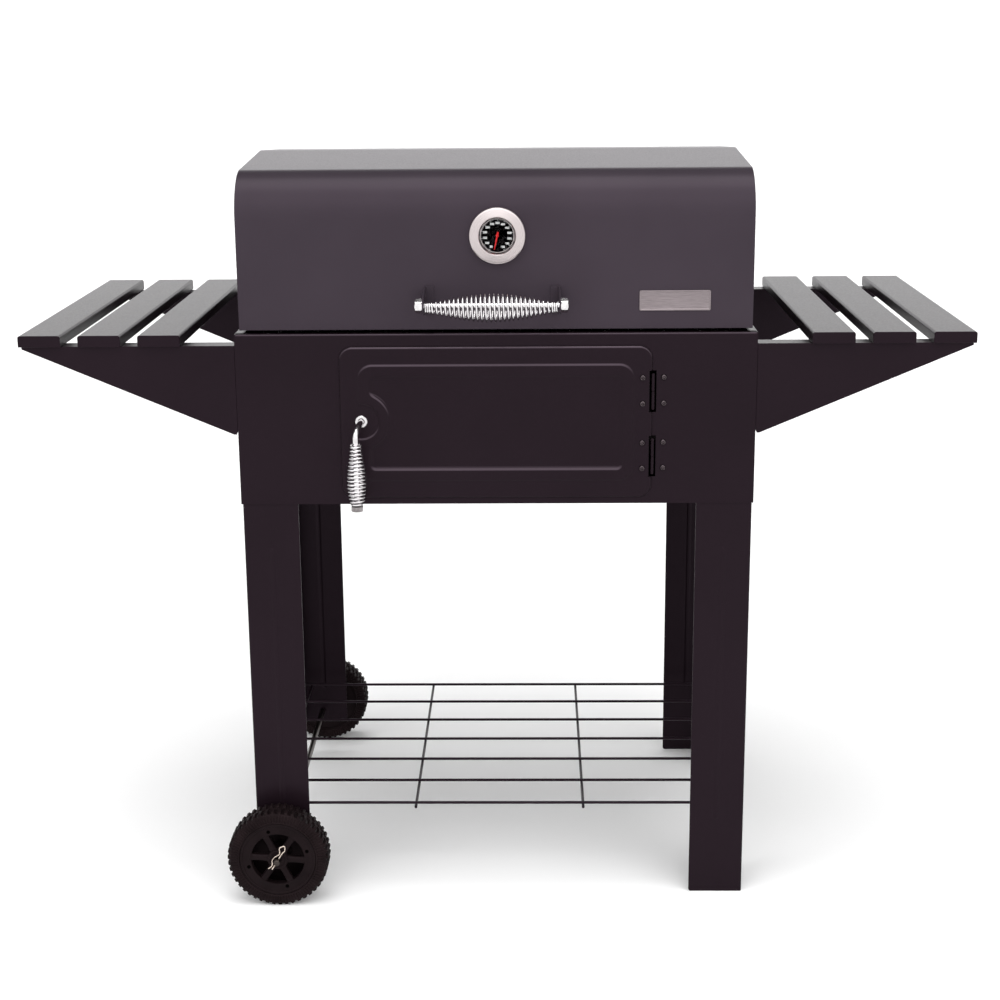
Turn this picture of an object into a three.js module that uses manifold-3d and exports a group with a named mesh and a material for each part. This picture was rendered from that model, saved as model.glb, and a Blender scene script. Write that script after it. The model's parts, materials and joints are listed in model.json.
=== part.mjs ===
// Cart-style charcoal grill: a sheet-steel firebox with a hinged lid and an ash door on four
// angle legs, with a slatted shelf on each side, a wire rack below and two wheels on the left.
// Millimetres. X runs to the right, Y from the front to the back and Z up from the floor.
import * as THREE from "three";
import { mergeVertices } from "three/addons/utils/BufferGeometryUtils.js";
import Module from "manifold-3d";

const wasm = await Module();
wasm.setup();

// ---------------------------------------------------------------- driving dimensions
const SHEET = 1.5; // sheet steel
const GAP = 0.3; // between faces that touch

const FIREBOX_WIDTH = 775;
const FIREBOX_DEPTH = 592;
const FIREBOX_BOTTOM = 643;
const FIREBOX_HEIGHT = 260;
const RIM = 14; // in-turned flange round the firebox
const FLOOR_RISE = 19.5; // of the firebox floor above the bottom flange
const GRATE_LEDGE_DROP = 26.5; // from the rim to the cooking grate's ledge
const CHARCOAL_LEDGE_RISE = 92; // from the firebox bottom to the charcoal grate's ledge
const LEDGE = 26; // width of both kinds of ledge

const LID_SIDE_INSET = 7.3; // of the lid's ends from the firebox's sides
const LID_INSET = 7; // of the lid's front and back from the firebox's
const LID_CLEARANCE = 5; // between the rim and the lid's edge
const LID_HEIGHT = 244;
const LID_BEND_RADIUS = 68;
const LID_SLOPE = THREE.MathUtils.degToRad(3.4); // of each half of the top

const LEG_WIDTH = 84.5;
const LEG_OVERLAP = 88; // that a leg runs up inside the firebox
const LEG_BELOW_AXLE = 19.4; // of the two legs that carry the axle
const FOOT_RADIUS = 4;
const RIB_WIDTH = 9;
const RIB_HEIGHT = 1.2;
const RIB_BOTTOM = 124;
const RIB_DROP = 70; // of a rib's top below the firebox

const SHELF_WIDTH = 320.5; // from the firebox's side to the shelf's outer edge
const SHELF_RISE = 0.5; // of the shelf's top above the rim
const SLAT_COUNT = 3;
const SLAT_WIDTH = 63.2;
const SLAT_PITCH = 89;
const SLAT_OVERHANG = 7.5; // at each end, past the brackets
const SLAT_THICKNESS = 17;
const SLAT_EDGE_RADIUS = 3.5;
const BRACKET_INSET = 3; // of a bracket's tip from the shelf's outer edge
const BRACKET_CORNER = 6; // rounding of the lower corner
const BRACKET_NOSE = 4;
const BRACKET_DROP = 137;
const BRACKET_FLANGE = 33;

const RACK_HEIGHT = 145;
const RACK_WIRE_RADIUS = 2.25;
const RACK_WIRE_COUNT = 7;
const RACK_FRONT_INSET = 20;
const RACK_REAR_INSET = 38;
const RACK_CROSS_SPACING = 266;
const RACK_CROSS_OVERHANG = 9;
const RACK_END_INSET = 25; // of the rack's end wires from the firebox's sides
const WIRE_HOLE_CLEARANCE = 0.9;

const WHEEL_RADIUS = 79.4;
const WHEEL_WIDTH = 45;
const WHEEL_GAP_FRONT = 7; // between the front leg and its wheel
const WHEEL_GAP_REAR = 48; // the axle sits back in its holes, so the rear wheel stands off
const HUB_RADIUS = 60;
const HUB_WINDOW_RADIUS = 42;
const HUB_BOSS_RADIUS = 16;
const HUB_FACE = 5;
const HUB_SETBACK = 3; // of the spokes, and of the closed back, behind the hub's ends
const HUB_BACK = 3; // thickness of the closed back
const HUB_RIM = 4;
const HUB_RIM_SETBACK = 2;
const HUB_BOSS_SETBACK = 1;
const HUB_HOLE_RADIUS = 3;
const HUB_HOLE_CIRCLE = 48;
const HUB_HOLE_TURN = THREE.MathUtils.degToRad(16);
const SPOKE_COUNT = 6;
const SPOKE_WIDTH = 13;
const SPOKE_TURN = THREE.MathUtils.degToRad(-4);
const WHEEL_SEGMENTS = 36;
const AXLE_RADIUS = 5;
const AXLE_INSET = 40; // of the axle from the firebox's left side
const AXLE_CLEARANCE = 0.6;
const AXLE_END = 13; // beyond a wheel's outer face
const CLIP_WIRE_RADIUS = 1;
const CLIP_SETBACK = 5; // of a clip from its wheel's face
const CLIP_TURN = THREE.MathUtils.degToRad(58);

const DOOR_MARGIN = 154.5; // between the door's edges and the firebox's sides
const DOOR_HEIGHT = 231;
const DOOR_BOTTOM = 653;
const DOOR_DEPTH = 4.2;
const DOOR_RADIUS = 20;
const DOOR_OVERLAP = 17; // of the door over the panel round the opening
const RIDGE_INSET = 27.5; // of the pressed ridge from the door's edge
const RIDGE_WIDTH = 17;
const RIDGE_HEIGHT = 2;
const RIDGE_RADIUS = 22;
const PANEL_RADIUS = 6; // of the corners of the panel inside the ridge
const BOSS_RADIUS = 43; // of the ridge round the latch
const BOSS_SEAT_RADIUS = 27;
const HINGE_OFFSET = 0.8; // of the hinge's axis beside the door's edge
const HINGE_RADIUS = 3.2;
const HINGE_SETBACK = 2.3; // of the hinge's axis behind the door's face
const HINGE_PIN_RADIUS = 1.3;
const HINGE_LENGTH = 61;
const HINGE_SLOT = 10;
const HINGE_LEAF = 27;
const HINGE_LEAF_THICKNESS = 1.2;
const HINGE_PITCH = 98.8;
const HINGE_DROP = 2.9; // of the pair's middle below the door's

const LATCH_INSET = 31.7; // from the door's left edge
const LATCH_RISE = 3.1; // above the door's middle
const LATCH_ROD_RADIUS = 4;
const LATCH_CLEARANCE = 0.6;
const LATCH_REACH = 41; // of the latch grip in front of the door
const LATCH_SHIFT = -5.5; // of the grip to the side of the pivot
const LATCH_HOOK = 28;
const LATCH_WASHER_RADIUS = 9;
const LATCH_COIL_DROP = 24.6; // of the grip's coil below the pivot
const LATCH_COIL_LENGTH = 95;
const LATCH_COIL_RADIUS = 14.8;
const LATCH_NUT_ACROSS = 17;
const LATCH_NUT_THICKNESS = 7.5;

const HANDLE_X = -4;
const HANDLE_RISE = 44; // above the lid's edge
const HANDLE_REACH = 57; // of the handle rod in front of the lid
const HANDLE_SPAN = 200; // over the two brackets
const HANDLE_ROD_RADIUS = 3.5;
const HANDLE_COIL_RADIUS = 21.5;
const HANDLE_COIL_SAG = 3;
const HANDLE_BRACKET_THICKNESS = 2;
const HANDLE_BRACKET_HEIGHT = 41;
const HANDLE_BRACKET_END = 13;
const HANDLE_BRACKET_FOOT = 14;
const HANDLE_NUT_ACROSS = 18.5;
const HANDLE_NUT_THICKNESS = 10.5;
const COIL_END_RADIUS = 8;
const COIL_BORE_CLEARANCE = 1.7;

const THERMOMETER_X = 4;
const THERMOMETER_RISE = 138.5; // above the lid's edge
const BEZEL_RADIUS = 41;
const BEZEL_INNER_RADIUS = 27;
const BEZEL_DEPTH = 13;
const DIAL_RADIUS = 24;
const DIAL_THICKNESS = 1;
const NEEDLE_LENGTH = 16;
const NEEDLE_ANGLE = THREE.MathUtils.degToRad(192); // clockwise from the top, seen from the front
const STEM_RADIUS = 4;
const STEM_LENGTH = 55;

const PLATE_INSET = 62.7; // from the lid's right end
const PLATE_RISE = 26.7; // above the lid's edge
const PLATE_WIDTH = 105;
const PLATE_HEIGHT = 30;

const LID_HINGE_INSET = 125.5; // from the firebox's sides
const LID_HINGE_LENGTH = 50;
const LID_HINGE_OFFSET = 8; // of its axis behind the firebox
const LID_HINGE_RISE = 2.5; // of its axis above the rim
const LID_HINGE_RADIUS = 6;
const LID_PIN_RADIUS = 3;
const LID_LEAF_THICKNESS = 2;
const LID_LEAF_HEIGHT = 38;
const LID_FIXED_LEAF_TOP = 8; // below the axis
const LID_KNUCKLE_GAP = 0.5;
const LID_ARM_LAP = 0.4; // of the moving arm over the bore
const PIN_CLEARANCE = 0.4;

const GRATE_THICKNESS = 9;
const GRATE_MARGIN = 18; // of every grate from the firebox's faces
const GRATE_BAR = 9;
const GRATE_SLOT = 17;
const GRATE_STAY = 12;
const GRATE_SPLIT = 2; // between the two cooking grates
const PAN_CLEARANCE = 12; // on each side of the pan in the door opening
const PAN_HEIGHT = 36;

// ---------------------------------------------------------------- worked-out places
const HALF_WIDTH = FIREBOX_WIDTH / 2;
const FIREBOX_TOP = FIREBOX_BOTTOM + FIREBOX_HEIGHT;
const LID_WIDTH = FIREBOX_WIDTH - 2 * LID_SIDE_INSET;
const LID_FRONT = LID_INSET;
const LID_BACK = FIREBOX_DEPTH - LID_INSET;
const LID_BOTTOM = FIREBOX_TOP + LID_CLEARANCE;
const LID_TOP = LID_BOTTOM + LID_HEIGHT;
const HANDLE_Z = LID_BOTTOM + HANDLE_RISE;
const THERMOMETER_Z = LID_BOTTOM + THERMOMETER_RISE;
const LID_HINGE_X = HALF_WIDTH - LID_HINGE_INSET;
const LEG_SKIN = SHEET + GAP; // of a leg's outer face inside the firebox's
const AXLE_X = -HALF_WIDTH + AXLE_INSET;
const AXLE_Z = WHEEL_RADIUS;
const WHEEL_LEG_BOTTOM = AXLE_Z - LEG_BELOW_AXLE;
const RIB_TOP = FIREBOX_BOTTOM - RIB_DROP;
const FRONT_WHEEL_Y = LEG_SKIN - RIB_HEIGHT - WHEEL_GAP_FRONT - WHEEL_WIDTH;
const REAR_WHEEL_Y = FIREBOX_DEPTH + WHEEL_GAP_REAR;
const AXLE_FRONT = FRONT_WHEEL_Y - AXLE_END;
const AXLE_REAR = REAR_WHEEL_Y + WHEEL_WIDTH + AXLE_END;
const RACK_WIRE_PITCH = (FIREBOX_DEPTH - RACK_FRONT_INSET - RACK_REAR_INSET) / (RACK_WIRE_COUNT - 1);
const SHELF_REACH = HALF_WIDTH + SHELF_WIDTH;
const SHELF_TOP = FIREBOX_TOP + SHELF_RISE;
const SLAT_LENGTH = FIREBOX_DEPTH + 2 * SLAT_OVERHANG;
const BRACKET_TOP = SHELF_TOP - SLAT_THICKNESS - GAP;
const DOOR_FACE = -GAP - DOOR_DEPTH;
const DOOR_RIGHT = HALF_WIDTH - DOOR_MARGIN;
const DOOR_LEFT = -DOOR_RIGHT;
const DOOR_TOP = DOOR_BOTTOM + DOOR_HEIGHT;
const DOOR_MIDDLE = DOOR_BOTTOM + DOOR_HEIGHT / 2;
const HINGE_AXIS_X = DOOR_RIGHT + HINGE_OFFSET;
const HINGE_HEIGHTS = [-1, 1].map((end) => DOOR_MIDDLE - HINGE_DROP + (end * HINGE_PITCH) / 2);
const LATCH_X = DOOR_LEFT + LATCH_INSET;
const LATCH_Z = DOOR_MIDDLE + LATCH_RISE;
const LATCH_COIL_TOP = LATCH_Z - LATCH_COIL_DROP;
const HINGE_AXIS_Y = DOOR_FACE + HINGE_SETBACK;
const LATCH_Y = DOOR_FACE - LATCH_REACH;
const HANDLE_Y = LID_FRONT - HANDLE_REACH;
const LID_AXIS_Y = FIREBOX_DEPTH + LID_HINGE_OFFSET;
const LID_AXIS_Z = FIREBOX_TOP + LID_HINGE_RISE;
const BOX_FRONT = Math.min(HANDLE_Y - HANDLE_COIL_RADIUS, AXLE_FRONT);
const BOX_MIDDLE = (BOX_FRONT + AXLE_REAR) / 2;

// ---------------------------------------------------------------- solids
function toSolid(geometry) {
  const bare = geometry.clone();
  bare.deleteAttribute("normal");
  bare.deleteAttribute("uv");
  const merged = mergeVertices(bare.index ? bare.toNonIndexed() : bare, 1e-4);
  const triVerts = new Uint32Array(merged.index.array);
  const vertProperties = merged.attributes.position.array;
  return new wasm.Manifold(new wasm.Mesh({ numProp: 3, vertProperties, triVerts }));
}

function toGeometry(solid) {
  const mesh = solid.getMesh();
  const geometry = new THREE.BufferGeometry();
  geometry.setAttribute("position", new THREE.BufferAttribute(mesh.vertProperties, 3));
  geometry.setIndex(new THREE.BufferAttribute(mesh.triVerts, 1));
  const flat = geometry.toNonIndexed();
  flat.computeVertexNormals();
  return flat;
}

function join(...geometries) {
  return toGeometry(geometries.map(toSolid).reduce((sum, solid) => sum.add(solid)));
}

function cut(geometry, ...tools) {
  return toGeometry(tools.map(toSolid).reduce((left, tool) => left.subtract(tool), toSolid(geometry)));
}

// A box between two corners, given in any order.
function box(xa, xb, ya, yb, za, zb) {
  const size = [Math.abs(xb - xa), Math.abs(yb - ya), Math.abs(zb - za)];
  return new THREE.BoxGeometry(...size).translate((xa + xb) / 2, (ya + yb) / 2, (za + zb) / 2);
}

function rodX(xa, xb, y, z, radius, sides) {
  const rod = new THREE.CylinderGeometry(radius, radius, Math.abs(xb - xa), sides);
  return rod.rotateZ(Math.PI / 2).translate((xa + xb) / 2, y, z);
}

function rodY(x, ya, yb, z, radius, sides) {
  const rod = new THREE.CylinderGeometry(radius, radius, Math.abs(yb - ya), sides);
  return rod.translate(x, (ya + yb) / 2, z);
}

function rodZ(x, y, za, zb, radius, sides) {
  const rod = new THREE.CylinderGeometry(radius, radius, Math.abs(zb - za), sides);
  return rod.rotateX(Math.PI / 2).translate(x, y, (za + zb) / 2);
}

const EXTRUSION = { bevelEnabled: false, curveSegments: 2 };

// An outline drawn in X and Z, from its front face at y and thickness deep.
function plateXZ(shape, y, thickness) {
  const plate = new THREE.ExtrudeGeometry(shape, { ...EXTRUSION, depth: thickness });
  return plate.rotateX(Math.PI / 2).translate(0, y + thickness, 0);
}

// An outline drawn in Y and Z, from x and length long.
function prismYZ(shape, x, length) {
  const axes = [new THREE.Vector3(0, 1, 0), new THREE.Vector3(0, 0, 1), new THREE.Vector3(1, 0, 0)];
  const prism = new THREE.ExtrudeGeometry(shape, { ...EXTRUSION, depth: length });
  return prism.applyMatrix4(new THREE.Matrix4().makeBasis(...axes)).translate(x, 0, 0);
}

function roundedRectangle(xa, xb, ya, yb, radius) {
  const shape = new THREE.Shape();
  shape.absarc(xb - radius, ya + radius, radius, -Math.PI / 2, 0);
  shape.absarc(xb - radius, yb - radius, radius, 0, Math.PI / 2);
  shape.absarc(xa + radius, yb - radius, radius, Math.PI / 2, Math.PI);
  shape.absarc(xa + radius, ya + radius, radius, Math.PI, (3 * Math.PI) / 2);
  return shape;
}

function polygon(points) {
  return new THREE.Shape(points.map(([x, y]) => new THREE.Vector2(x, y)));
}

// A profile of [radius, height] points turned about Y.
function lathe(points, segments) {
  return new THREE.LatheGeometry(points.map(([r, h]) => new THREE.Vector2(r, h)), segments);
}

function tubeAlong(points, radius, sides, steps) {
  const curve = new THREE.CatmullRomCurve3(points, false, "centripetal");
  const section = new THREE.Shape();
  section.absarc(0, 0, radius, 0, 2 * Math.PI);
  const curveSegments = sides / 2;
  return new THREE.ExtrudeGeometry(section, { steps, curveSegments, extrudePath: curve });
}

// ---------------------------------------------------------------- materials and nodes
const finish = {
  enamel: { color: 0x2b2328, roughness: 0.42, metalness: 0.1 },
  plastic: { color: 0x1d1819, roughness: 0.6, metalness: 0 },
  rubberlike: { color: 0x2a2223, roughness: 0.7, metalness: 0 },
  chrome: { color: 0xd8d8dc, roughness: 0.12, metalness: 1 },
  brushed: { color: 0xc8c2c2, roughness: 0.35, metalness: 1 },
  zinc: { color: 0xa9926b, roughness: 0.35, metalness: 1 },
  dial: { color: 0x101012, roughness: 0.5, metalness: 0 },
  needle: { color: 0xc02018, roughness: 0.5, metalness: 0 },
  glass: { color: 0xffffff, roughness: 0.05, metalness: 0 },
  castIron: { color: 0x1b1b1b, roughness: 0.75, metalness: 0.3 },
};

const grill = new THREE.Group();
grill.position.y = -BOX_MIDDLE;

function add(name, geometry, material) {
  const mesh = new THREE.Mesh(geometry, new THREE.MeshStandardMaterial(finish[material]));
  mesh.name = name;
  grill.add(mesh);
}

const SIDES = [
  ["left", -1],
  ["right", 1],
];

// ---------------------------------------------------------------- firebox
const DOOR_OPENING = {
  left: DOOR_LEFT + DOOR_OVERLAP,
  right: DOOR_RIGHT - DOOR_OVERLAP,
  bottom: DOOR_BOTTOM + DOOR_OVERLAP,
  top: DOOR_TOP - DOOR_OVERLAP,
};

// A front or back panel: its web, the rims, and the ledge for the cooking grates.
function endPanel(face, inward) {
  const inner = face + inward * RIM;
  const skin = face + inward * SHEET;
  const ledge = FIREBOX_TOP - GRATE_LEDGE_DROP;
  const ledgeEnd = HALF_WIDTH - SHEET - LEDGE - GAP;
  const footEnd = HALF_WIDTH - LEG_SKIN - LEG_WIDTH - GAP;
  const rimEnd = HALF_WIDTH - SHEET - GAP;
  return join(
    box(-HALF_WIDTH, HALF_WIDTH, face, skin, FIREBOX_BOTTOM, FIREBOX_TOP),
    box(-rimEnd, rimEnd, face, inner, FIREBOX_TOP - SHEET, FIREBOX_TOP),
    box(-footEnd, footEnd, face, inner, FIREBOX_BOTTOM, FIREBOX_BOTTOM + SHEET),
    box(-ledgeEnd, ledgeEnd, face, face + inward * LEDGE, ledge - SHEET, ledge),
  );
}

function sidePanel(side) {
  const outer = side * HALF_WIDTH;
  const skin = outer - side * SHEET;
  const inner = outer - side * RIM;
  const front = SHEET + GAP;
  const ledge = FIREBOX_BOTTOM + CHARCOAL_LEDGE_RISE;
  const footEnd = LEG_SKIN + LEG_WIDTH + GAP;
  const rimEnd = RIM + GAP;
  return join(
    box(outer, skin, front, FIREBOX_DEPTH - front, FIREBOX_BOTTOM, FIREBOX_TOP),
    box(outer, inner, rimEnd, FIREBOX_DEPTH - rimEnd, FIREBOX_TOP - SHEET, FIREBOX_TOP),
    box(outer, inner, footEnd, FIREBOX_DEPTH - footEnd, FIREBOX_BOTTOM, FIREBOX_BOTTOM + SHEET),
    box(outer, outer - side * LEDGE, footEnd, FIREBOX_DEPTH - footEnd, ledge - SHEET, ledge),
  );
}

// The floor is a tray turned upside down, and its edges stand on the bottom flanges.
function firebox_floor() {
  const x = HALF_WIDTH - LEG_SKIN - SHEET - GAP;
  const y = LEG_SKIN + SHEET + GAP;
  const foot = FIREBOX_BOTTOM + SHEET + GAP;
  const top = FIREBOX_BOTTOM + FLOOR_RISE;
  return cut(
    box(-x, x, y, FIREBOX_DEPTH - y, foot, top),
    box(-x + SHEET, x - SHEET, y + SHEET, FIREBOX_DEPTH - y - SHEET, foot - 1, top - SHEET),
  );
}

const hingeSlots = HINGE_HEIGHTS.map((z) =>
  box(
    HINGE_AXIS_X - HINGE_SLOT / 2,
    HINGE_AXIS_X + HINGE_SLOT / 2,
    DOOR_FACE - RIDGE_HEIGHT,
    LEG_SKIN,
    z - HINGE_LENGTH / 2 - 1,
    z + HINGE_LENGTH / 2 + 1,
  ),
);
const openingShape = roundedRectangle(
  DOOR_OPENING.left,
  DOOR_OPENING.right,
  DOOR_OPENING.bottom,
  DOOR_OPENING.top,
  DOOR_RADIUS,
);
add("firebox_front", cut(endPanel(0, 1), plateXZ(openingShape, -1, SHEET + 2), ...hingeSlots), "enamel");
add("firebox_rear", endPanel(FIREBOX_DEPTH, -1), "enamel");
for (const [name, side] of SIDES) add(`firebox_${name}`, sidePanel(side), "enamel");
add("firebox_floor", firebox_floor(), "enamel");

// ---------------------------------------------------------------- legs
// One angle leg. side is -1 or 1 in X; back is 0 for a front leg and 1 for a rear one.
function leg(side, back, bottom) {
  const inward = back ? -1 : 1;
  const corner = side * (HALF_WIDTH - LEG_SKIN);
  const face = back ? FIREBOX_DEPTH - LEG_SKIN : LEG_SKIN;
  const top = FIREBOX_BOTTOM + LEG_OVERLAP;
  const flangeEnd = corner - side * LEG_WIDTH;
  const xs = [Math.min(corner, flangeEnd), Math.max(corner, flangeEnd)];
  const ys = [Math.min(face, face + inward * LEG_WIDTH), Math.max(face, face + inward * LEG_WIDTH)];
  const across = roundedRectangle(...xs, bottom, top, FOOT_RADIUS);
  const along = roundedRectangle(...ys, bottom, top, FOOT_RADIUS);
  const ribX = corner - (side * LEG_WIDTH) / 2;
  const rib = (width) =>
    roundedRectangle(ribX - width / 2, ribX + width / 2, RIB_BOTTOM, RIB_TOP, width / 2);
  const outside = back ? face : face - RIB_HEIGHT;
  const inside = back ? face - SHEET : face + SHEET - RIB_HEIGHT;
  const whole = join(
    plateXZ(across, back ? face - SHEET : face, SHEET),
    prismYZ(along, side > 0 ? corner - SHEET : corner, SHEET),
    plateXZ(rib(RIB_WIDTH), back ? outside - 0.1 : outside, RIB_HEIGHT + 0.1),
  );
  return cut(whole, plateXZ(rib(RIB_WIDTH - 2 * SHEET), inside, RIB_HEIGHT));
}

const rackWires = Array.from(
  { length: RACK_WIRE_COUNT },
  (_, i) => RACK_FRONT_INSET + i * RACK_WIRE_PITCH,
);
const rackHoles = [rackWires[0], rackWires[RACK_WIRE_COUNT - 1]].map((y) =>
  rodX(-HALF_WIDTH, HALF_WIDTH, y, RACK_HEIGHT, RACK_WIRE_RADIUS + WIRE_HOLE_CLEARANCE, 10),
);
const axleHole = rodY(AXLE_X, -10, FIREBOX_DEPTH + 10, AXLE_Z, AXLE_RADIUS + AXLE_CLEARANCE, 16);
for (const [end, back] of [["front", 0], ["rear", 1]]) {
  add(`leg_${end}_left`, cut(leg(-1, back, WHEEL_LEG_BOTTOM), axleHole, rackHoles[back]), "enamel");
  add(`leg_${end}_right`, cut(leg(1, back, 0), rackHoles[back]), "enamel");
}

// ---------------------------------------------------------------- side shelves
function shelfBracket(side, back) {
  const inward = back ? -1 : 1;
  const face = back ? FIREBOX_DEPTH : 0;
  const root = side * (HALF_WIDTH + GAP);
  const tip = side * (SHELF_REACH - BRACKET_INSET);
  const bottom = BRACKET_TOP - BRACKET_DROP;
  const flangeEnd = face + inward * BRACKET_FLANGE;
  const points = [
    [root, bottom + BRACKET_CORNER],
    [root + side * BRACKET_CORNER * 0.3, bottom + BRACKET_CORNER * 0.3],
    [root + side * BRACKET_CORNER, bottom + BRACKET_CORNER * 0.37],
    [tip, BRACKET_TOP - BRACKET_NOSE],
    [tip, BRACKET_TOP],
    [root, BRACKET_TOP],
  ];
  const web = polygon(side > 0 ? points : points.reverse());
  return join(
    plateXZ(web, back ? face - SHEET : face, SHEET),
    box(root, tip, face, flangeEnd, BRACKET_TOP - SHEET, BRACKET_TOP),
    box(root, root + side * SHEET, face, flangeEnd, bottom + BRACKET_CORNER, BRACKET_TOP),
  );
}

// A slat is a pressed cover, open underneath.
function slat(outerEdge, side) {
  const xs = [outerEdge, outerEdge - side * SLAT_WIDTH].sort((a, b) => a - b);
  const front = (FIREBOX_DEPTH - SLAT_LENGTH) / 2;
  const bottom = SHELF_TOP - SLAT_THICKNESS;
  const r = SLAT_EDGE_RADIUS;
  const section = new THREE.Shape();
  section.moveTo(xs[0], bottom);
  section.lineTo(xs[1], bottom);
  section.absarc(xs[1] - r, SHELF_TOP - r, r, 0, Math.PI / 2);
  section.absarc(xs[0] + r, SHELF_TOP - r, r, Math.PI / 2, Math.PI);
  const inner = [xs[0] + SHEET, xs[1] - SHEET, front + SHEET, front + SLAT_LENGTH - SHEET];
  return cut(plateXZ(section, front, SLAT_LENGTH), box(...inner, bottom - 1, SHELF_TOP - SHEET));
}

for (const [name, side] of SIDES) {
  add(`bracket_front_${name}`, shelfBracket(side, 0), "enamel");
  add(`bracket_rear_${name}`, shelfBracket(side, 1), "enamel");
  for (let i = 0; i < SLAT_COUNT; i++)
    add(`slat_${name}_${i + 1}`, slat(side * (SHELF_REACH - i * SLAT_PITCH), side), "enamel");
}

// ---------------------------------------------------------------- bottom rack
// Long wires lie on the cross wires, and the outer two reach through the legs.
function bottomRack() {
  const endX = HALF_WIDTH - RACK_END_INSET;
  const crossZ = RACK_HEIGHT - 2 * RACK_WIRE_RADIUS + 0.4;
  const crossFront = rackWires[0] - RACK_CROSS_OVERHANG;
  const crossRear = rackWires[RACK_WIRE_COUNT - 1] + RACK_CROSS_OVERHANG;
  const reach = HALF_WIDTH - LEG_SKIN + 0.8;
  const longWires = rackWires.map((y, i) => {
    const end = i === 0 || i === RACK_WIRE_COUNT - 1 ? reach : endX + RACK_WIRE_RADIUS;
    return rodX(-end, end, y, RACK_HEIGHT, RACK_WIRE_RADIUS, 8);
  });
  const crossX = [-endX, -RACK_CROSS_SPACING / 2, RACK_CROSS_SPACING / 2, endX];
  const crossWires = crossX.map((x) => rodY(x, crossFront, crossRear, crossZ, RACK_WIRE_RADIUS, 8));
  return join(...longWires, ...crossWires);
}
add("bottom_rack", bottomRack(), "enamel");

// ---------------------------------------------------------------- axle, wheels and clips
// The tyre and hub stand on Y from 0, the wheel's front face, to its width.
function tyre() {
  const shoulder = 5;
  const lip = 1.5;
  const inner = HUB_RADIUS + GAP;
  const profile = [
    [inner, lip],
    [HUB_RADIUS + 6, 0],
    [WHEEL_RADIUS - shoulder - 2, 0],
    [WHEEL_RADIUS - 1, shoulder],
    [WHEEL_RADIUS, shoulder + 3],
    [WHEEL_RADIUS, WHEEL_WIDTH - shoulder - 3],
    [WHEEL_RADIUS - 1, WHEEL_WIDTH - shoulder],
    [WHEEL_RADIUS - shoulder - 2, WHEEL_WIDTH],
    [HUB_RADIUS + 6, WHEEL_WIDTH],
    [inner, WHEEL_WIDTH - lip],
    [inner, lip],
  ];
  return lathe(profile, WHEEL_SEGMENTS);
}

// One of the openings between two spokes, with room for half a spoke on each side.
function hubWindow(i) {
  const from = SPOKE_TURN + (i * 2 * Math.PI) / SPOKE_COUNT;
  const to = from + (2 * Math.PI) / SPOKE_COUNT;
  const outer = Math.asin(SPOKE_WIDTH / 2 / HUB_WINDOW_RADIUS);
  const inner = Math.asin(SPOKE_WIDTH / 2 / HUB_BOSS_RADIUS);
  const window = new THREE.Shape();
  window.absarc(0, 0, HUB_WINDOW_RADIUS, from + outer, to - outer);
  window.absarc(0, 0, HUB_BOSS_RADIUS, to - inner, from + inner, true);
  return plateXZ(window, 0, 2 * HUB_FACE);
}

function hub() {
  const holes = [0, 1, 2, 3].map((i) => {
    const angle = HUB_HOLE_TURN + (i * Math.PI) / 2;
    const z = HUB_HOLE_CIRCLE * Math.sin(angle);
    return rodY(HUB_HOLE_CIRCLE * Math.cos(angle), 0, 2 * HUB_FACE, z, HUB_HOLE_RADIUS, 8);
  });
  const windows = Array.from({ length: SPOKE_COUNT }, (_, i) => hubWindow(i));
  const rim = [
    [HUB_RADIUS - HUB_RIM, HUB_RIM_SETBACK],
    [HUB_RADIUS, HUB_RIM_SETBACK],
    [HUB_RADIUS, WHEEL_WIDTH - HUB_RIM_SETBACK],
    [HUB_RADIUS - HUB_RIM, WHEEL_WIDTH - HUB_RIM_SETBACK],
    [HUB_RADIUS - HUB_RIM, HUB_RIM_SETBACK],
  ];
  const plateRadius = HUB_RADIUS - HUB_RIM / 2;
  const front = rodY(0, HUB_SETBACK, HUB_SETBACK + HUB_FACE, 0, plateRadius, WHEEL_SEGMENTS);
  const backEnd = WHEEL_WIDTH - HUB_SETBACK;
  const back = rodY(0, backEnd - HUB_BACK, backEnd, 0, plateRadius, WHEEL_SEGMENTS);
  const boss = rodY(0, HUB_BOSS_SETBACK, WHEEL_WIDTH - HUB_BOSS_SETBACK, 0, HUB_BOSS_RADIUS, 20);
  const bore = rodY(0, -1, WHEEL_WIDTH + 1, 0, AXLE_RADIUS + AXLE_CLEARANCE, 16);
  return cut(join(cut(front, ...windows, ...holes), back, lathe(rim, WHEEL_SEGMENTS), boss), bore);
}

// A hairpin clip: its straight arm goes through the axle and its wavy arm round it.
function axleClip() {
  const arm = 22;
  const grip = AXLE_RADIUS + CLIP_WIRE_RADIUS + 0.4;
  const loop = 6;
  const points = [
    new THREE.Vector3(-arm + 6, 0, 0),
    new THREE.Vector3(0, 0, 0),
    new THREE.Vector3(arm - 6, 0, 0),
    new THREE.Vector3(arm, 0, -1),
    new THREE.Vector3(arm + loop, 0, loop / 2),
    new THREE.Vector3(arm, 0, loop + 2),
    new THREE.Vector3(arm - 9, 0, 3.2),
    new THREE.Vector3(grip / 2, 0, grip + 0.6),
    new THREE.Vector3(-grip / 2, 0, grip + 0.6),
    new THREE.Vector3(-grip - 4, 0, 3.4),
    new THREE.Vector3(-arm + 4, 0, 5.5),
  ];
  return tubeAlong(points, CLIP_WIRE_RADIUS, 6, 30);
}

function placed(geometry, y, turn = 0) {
  return geometry.rotateY(turn).translate(AXLE_X, y, AXLE_Z);
}

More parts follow.
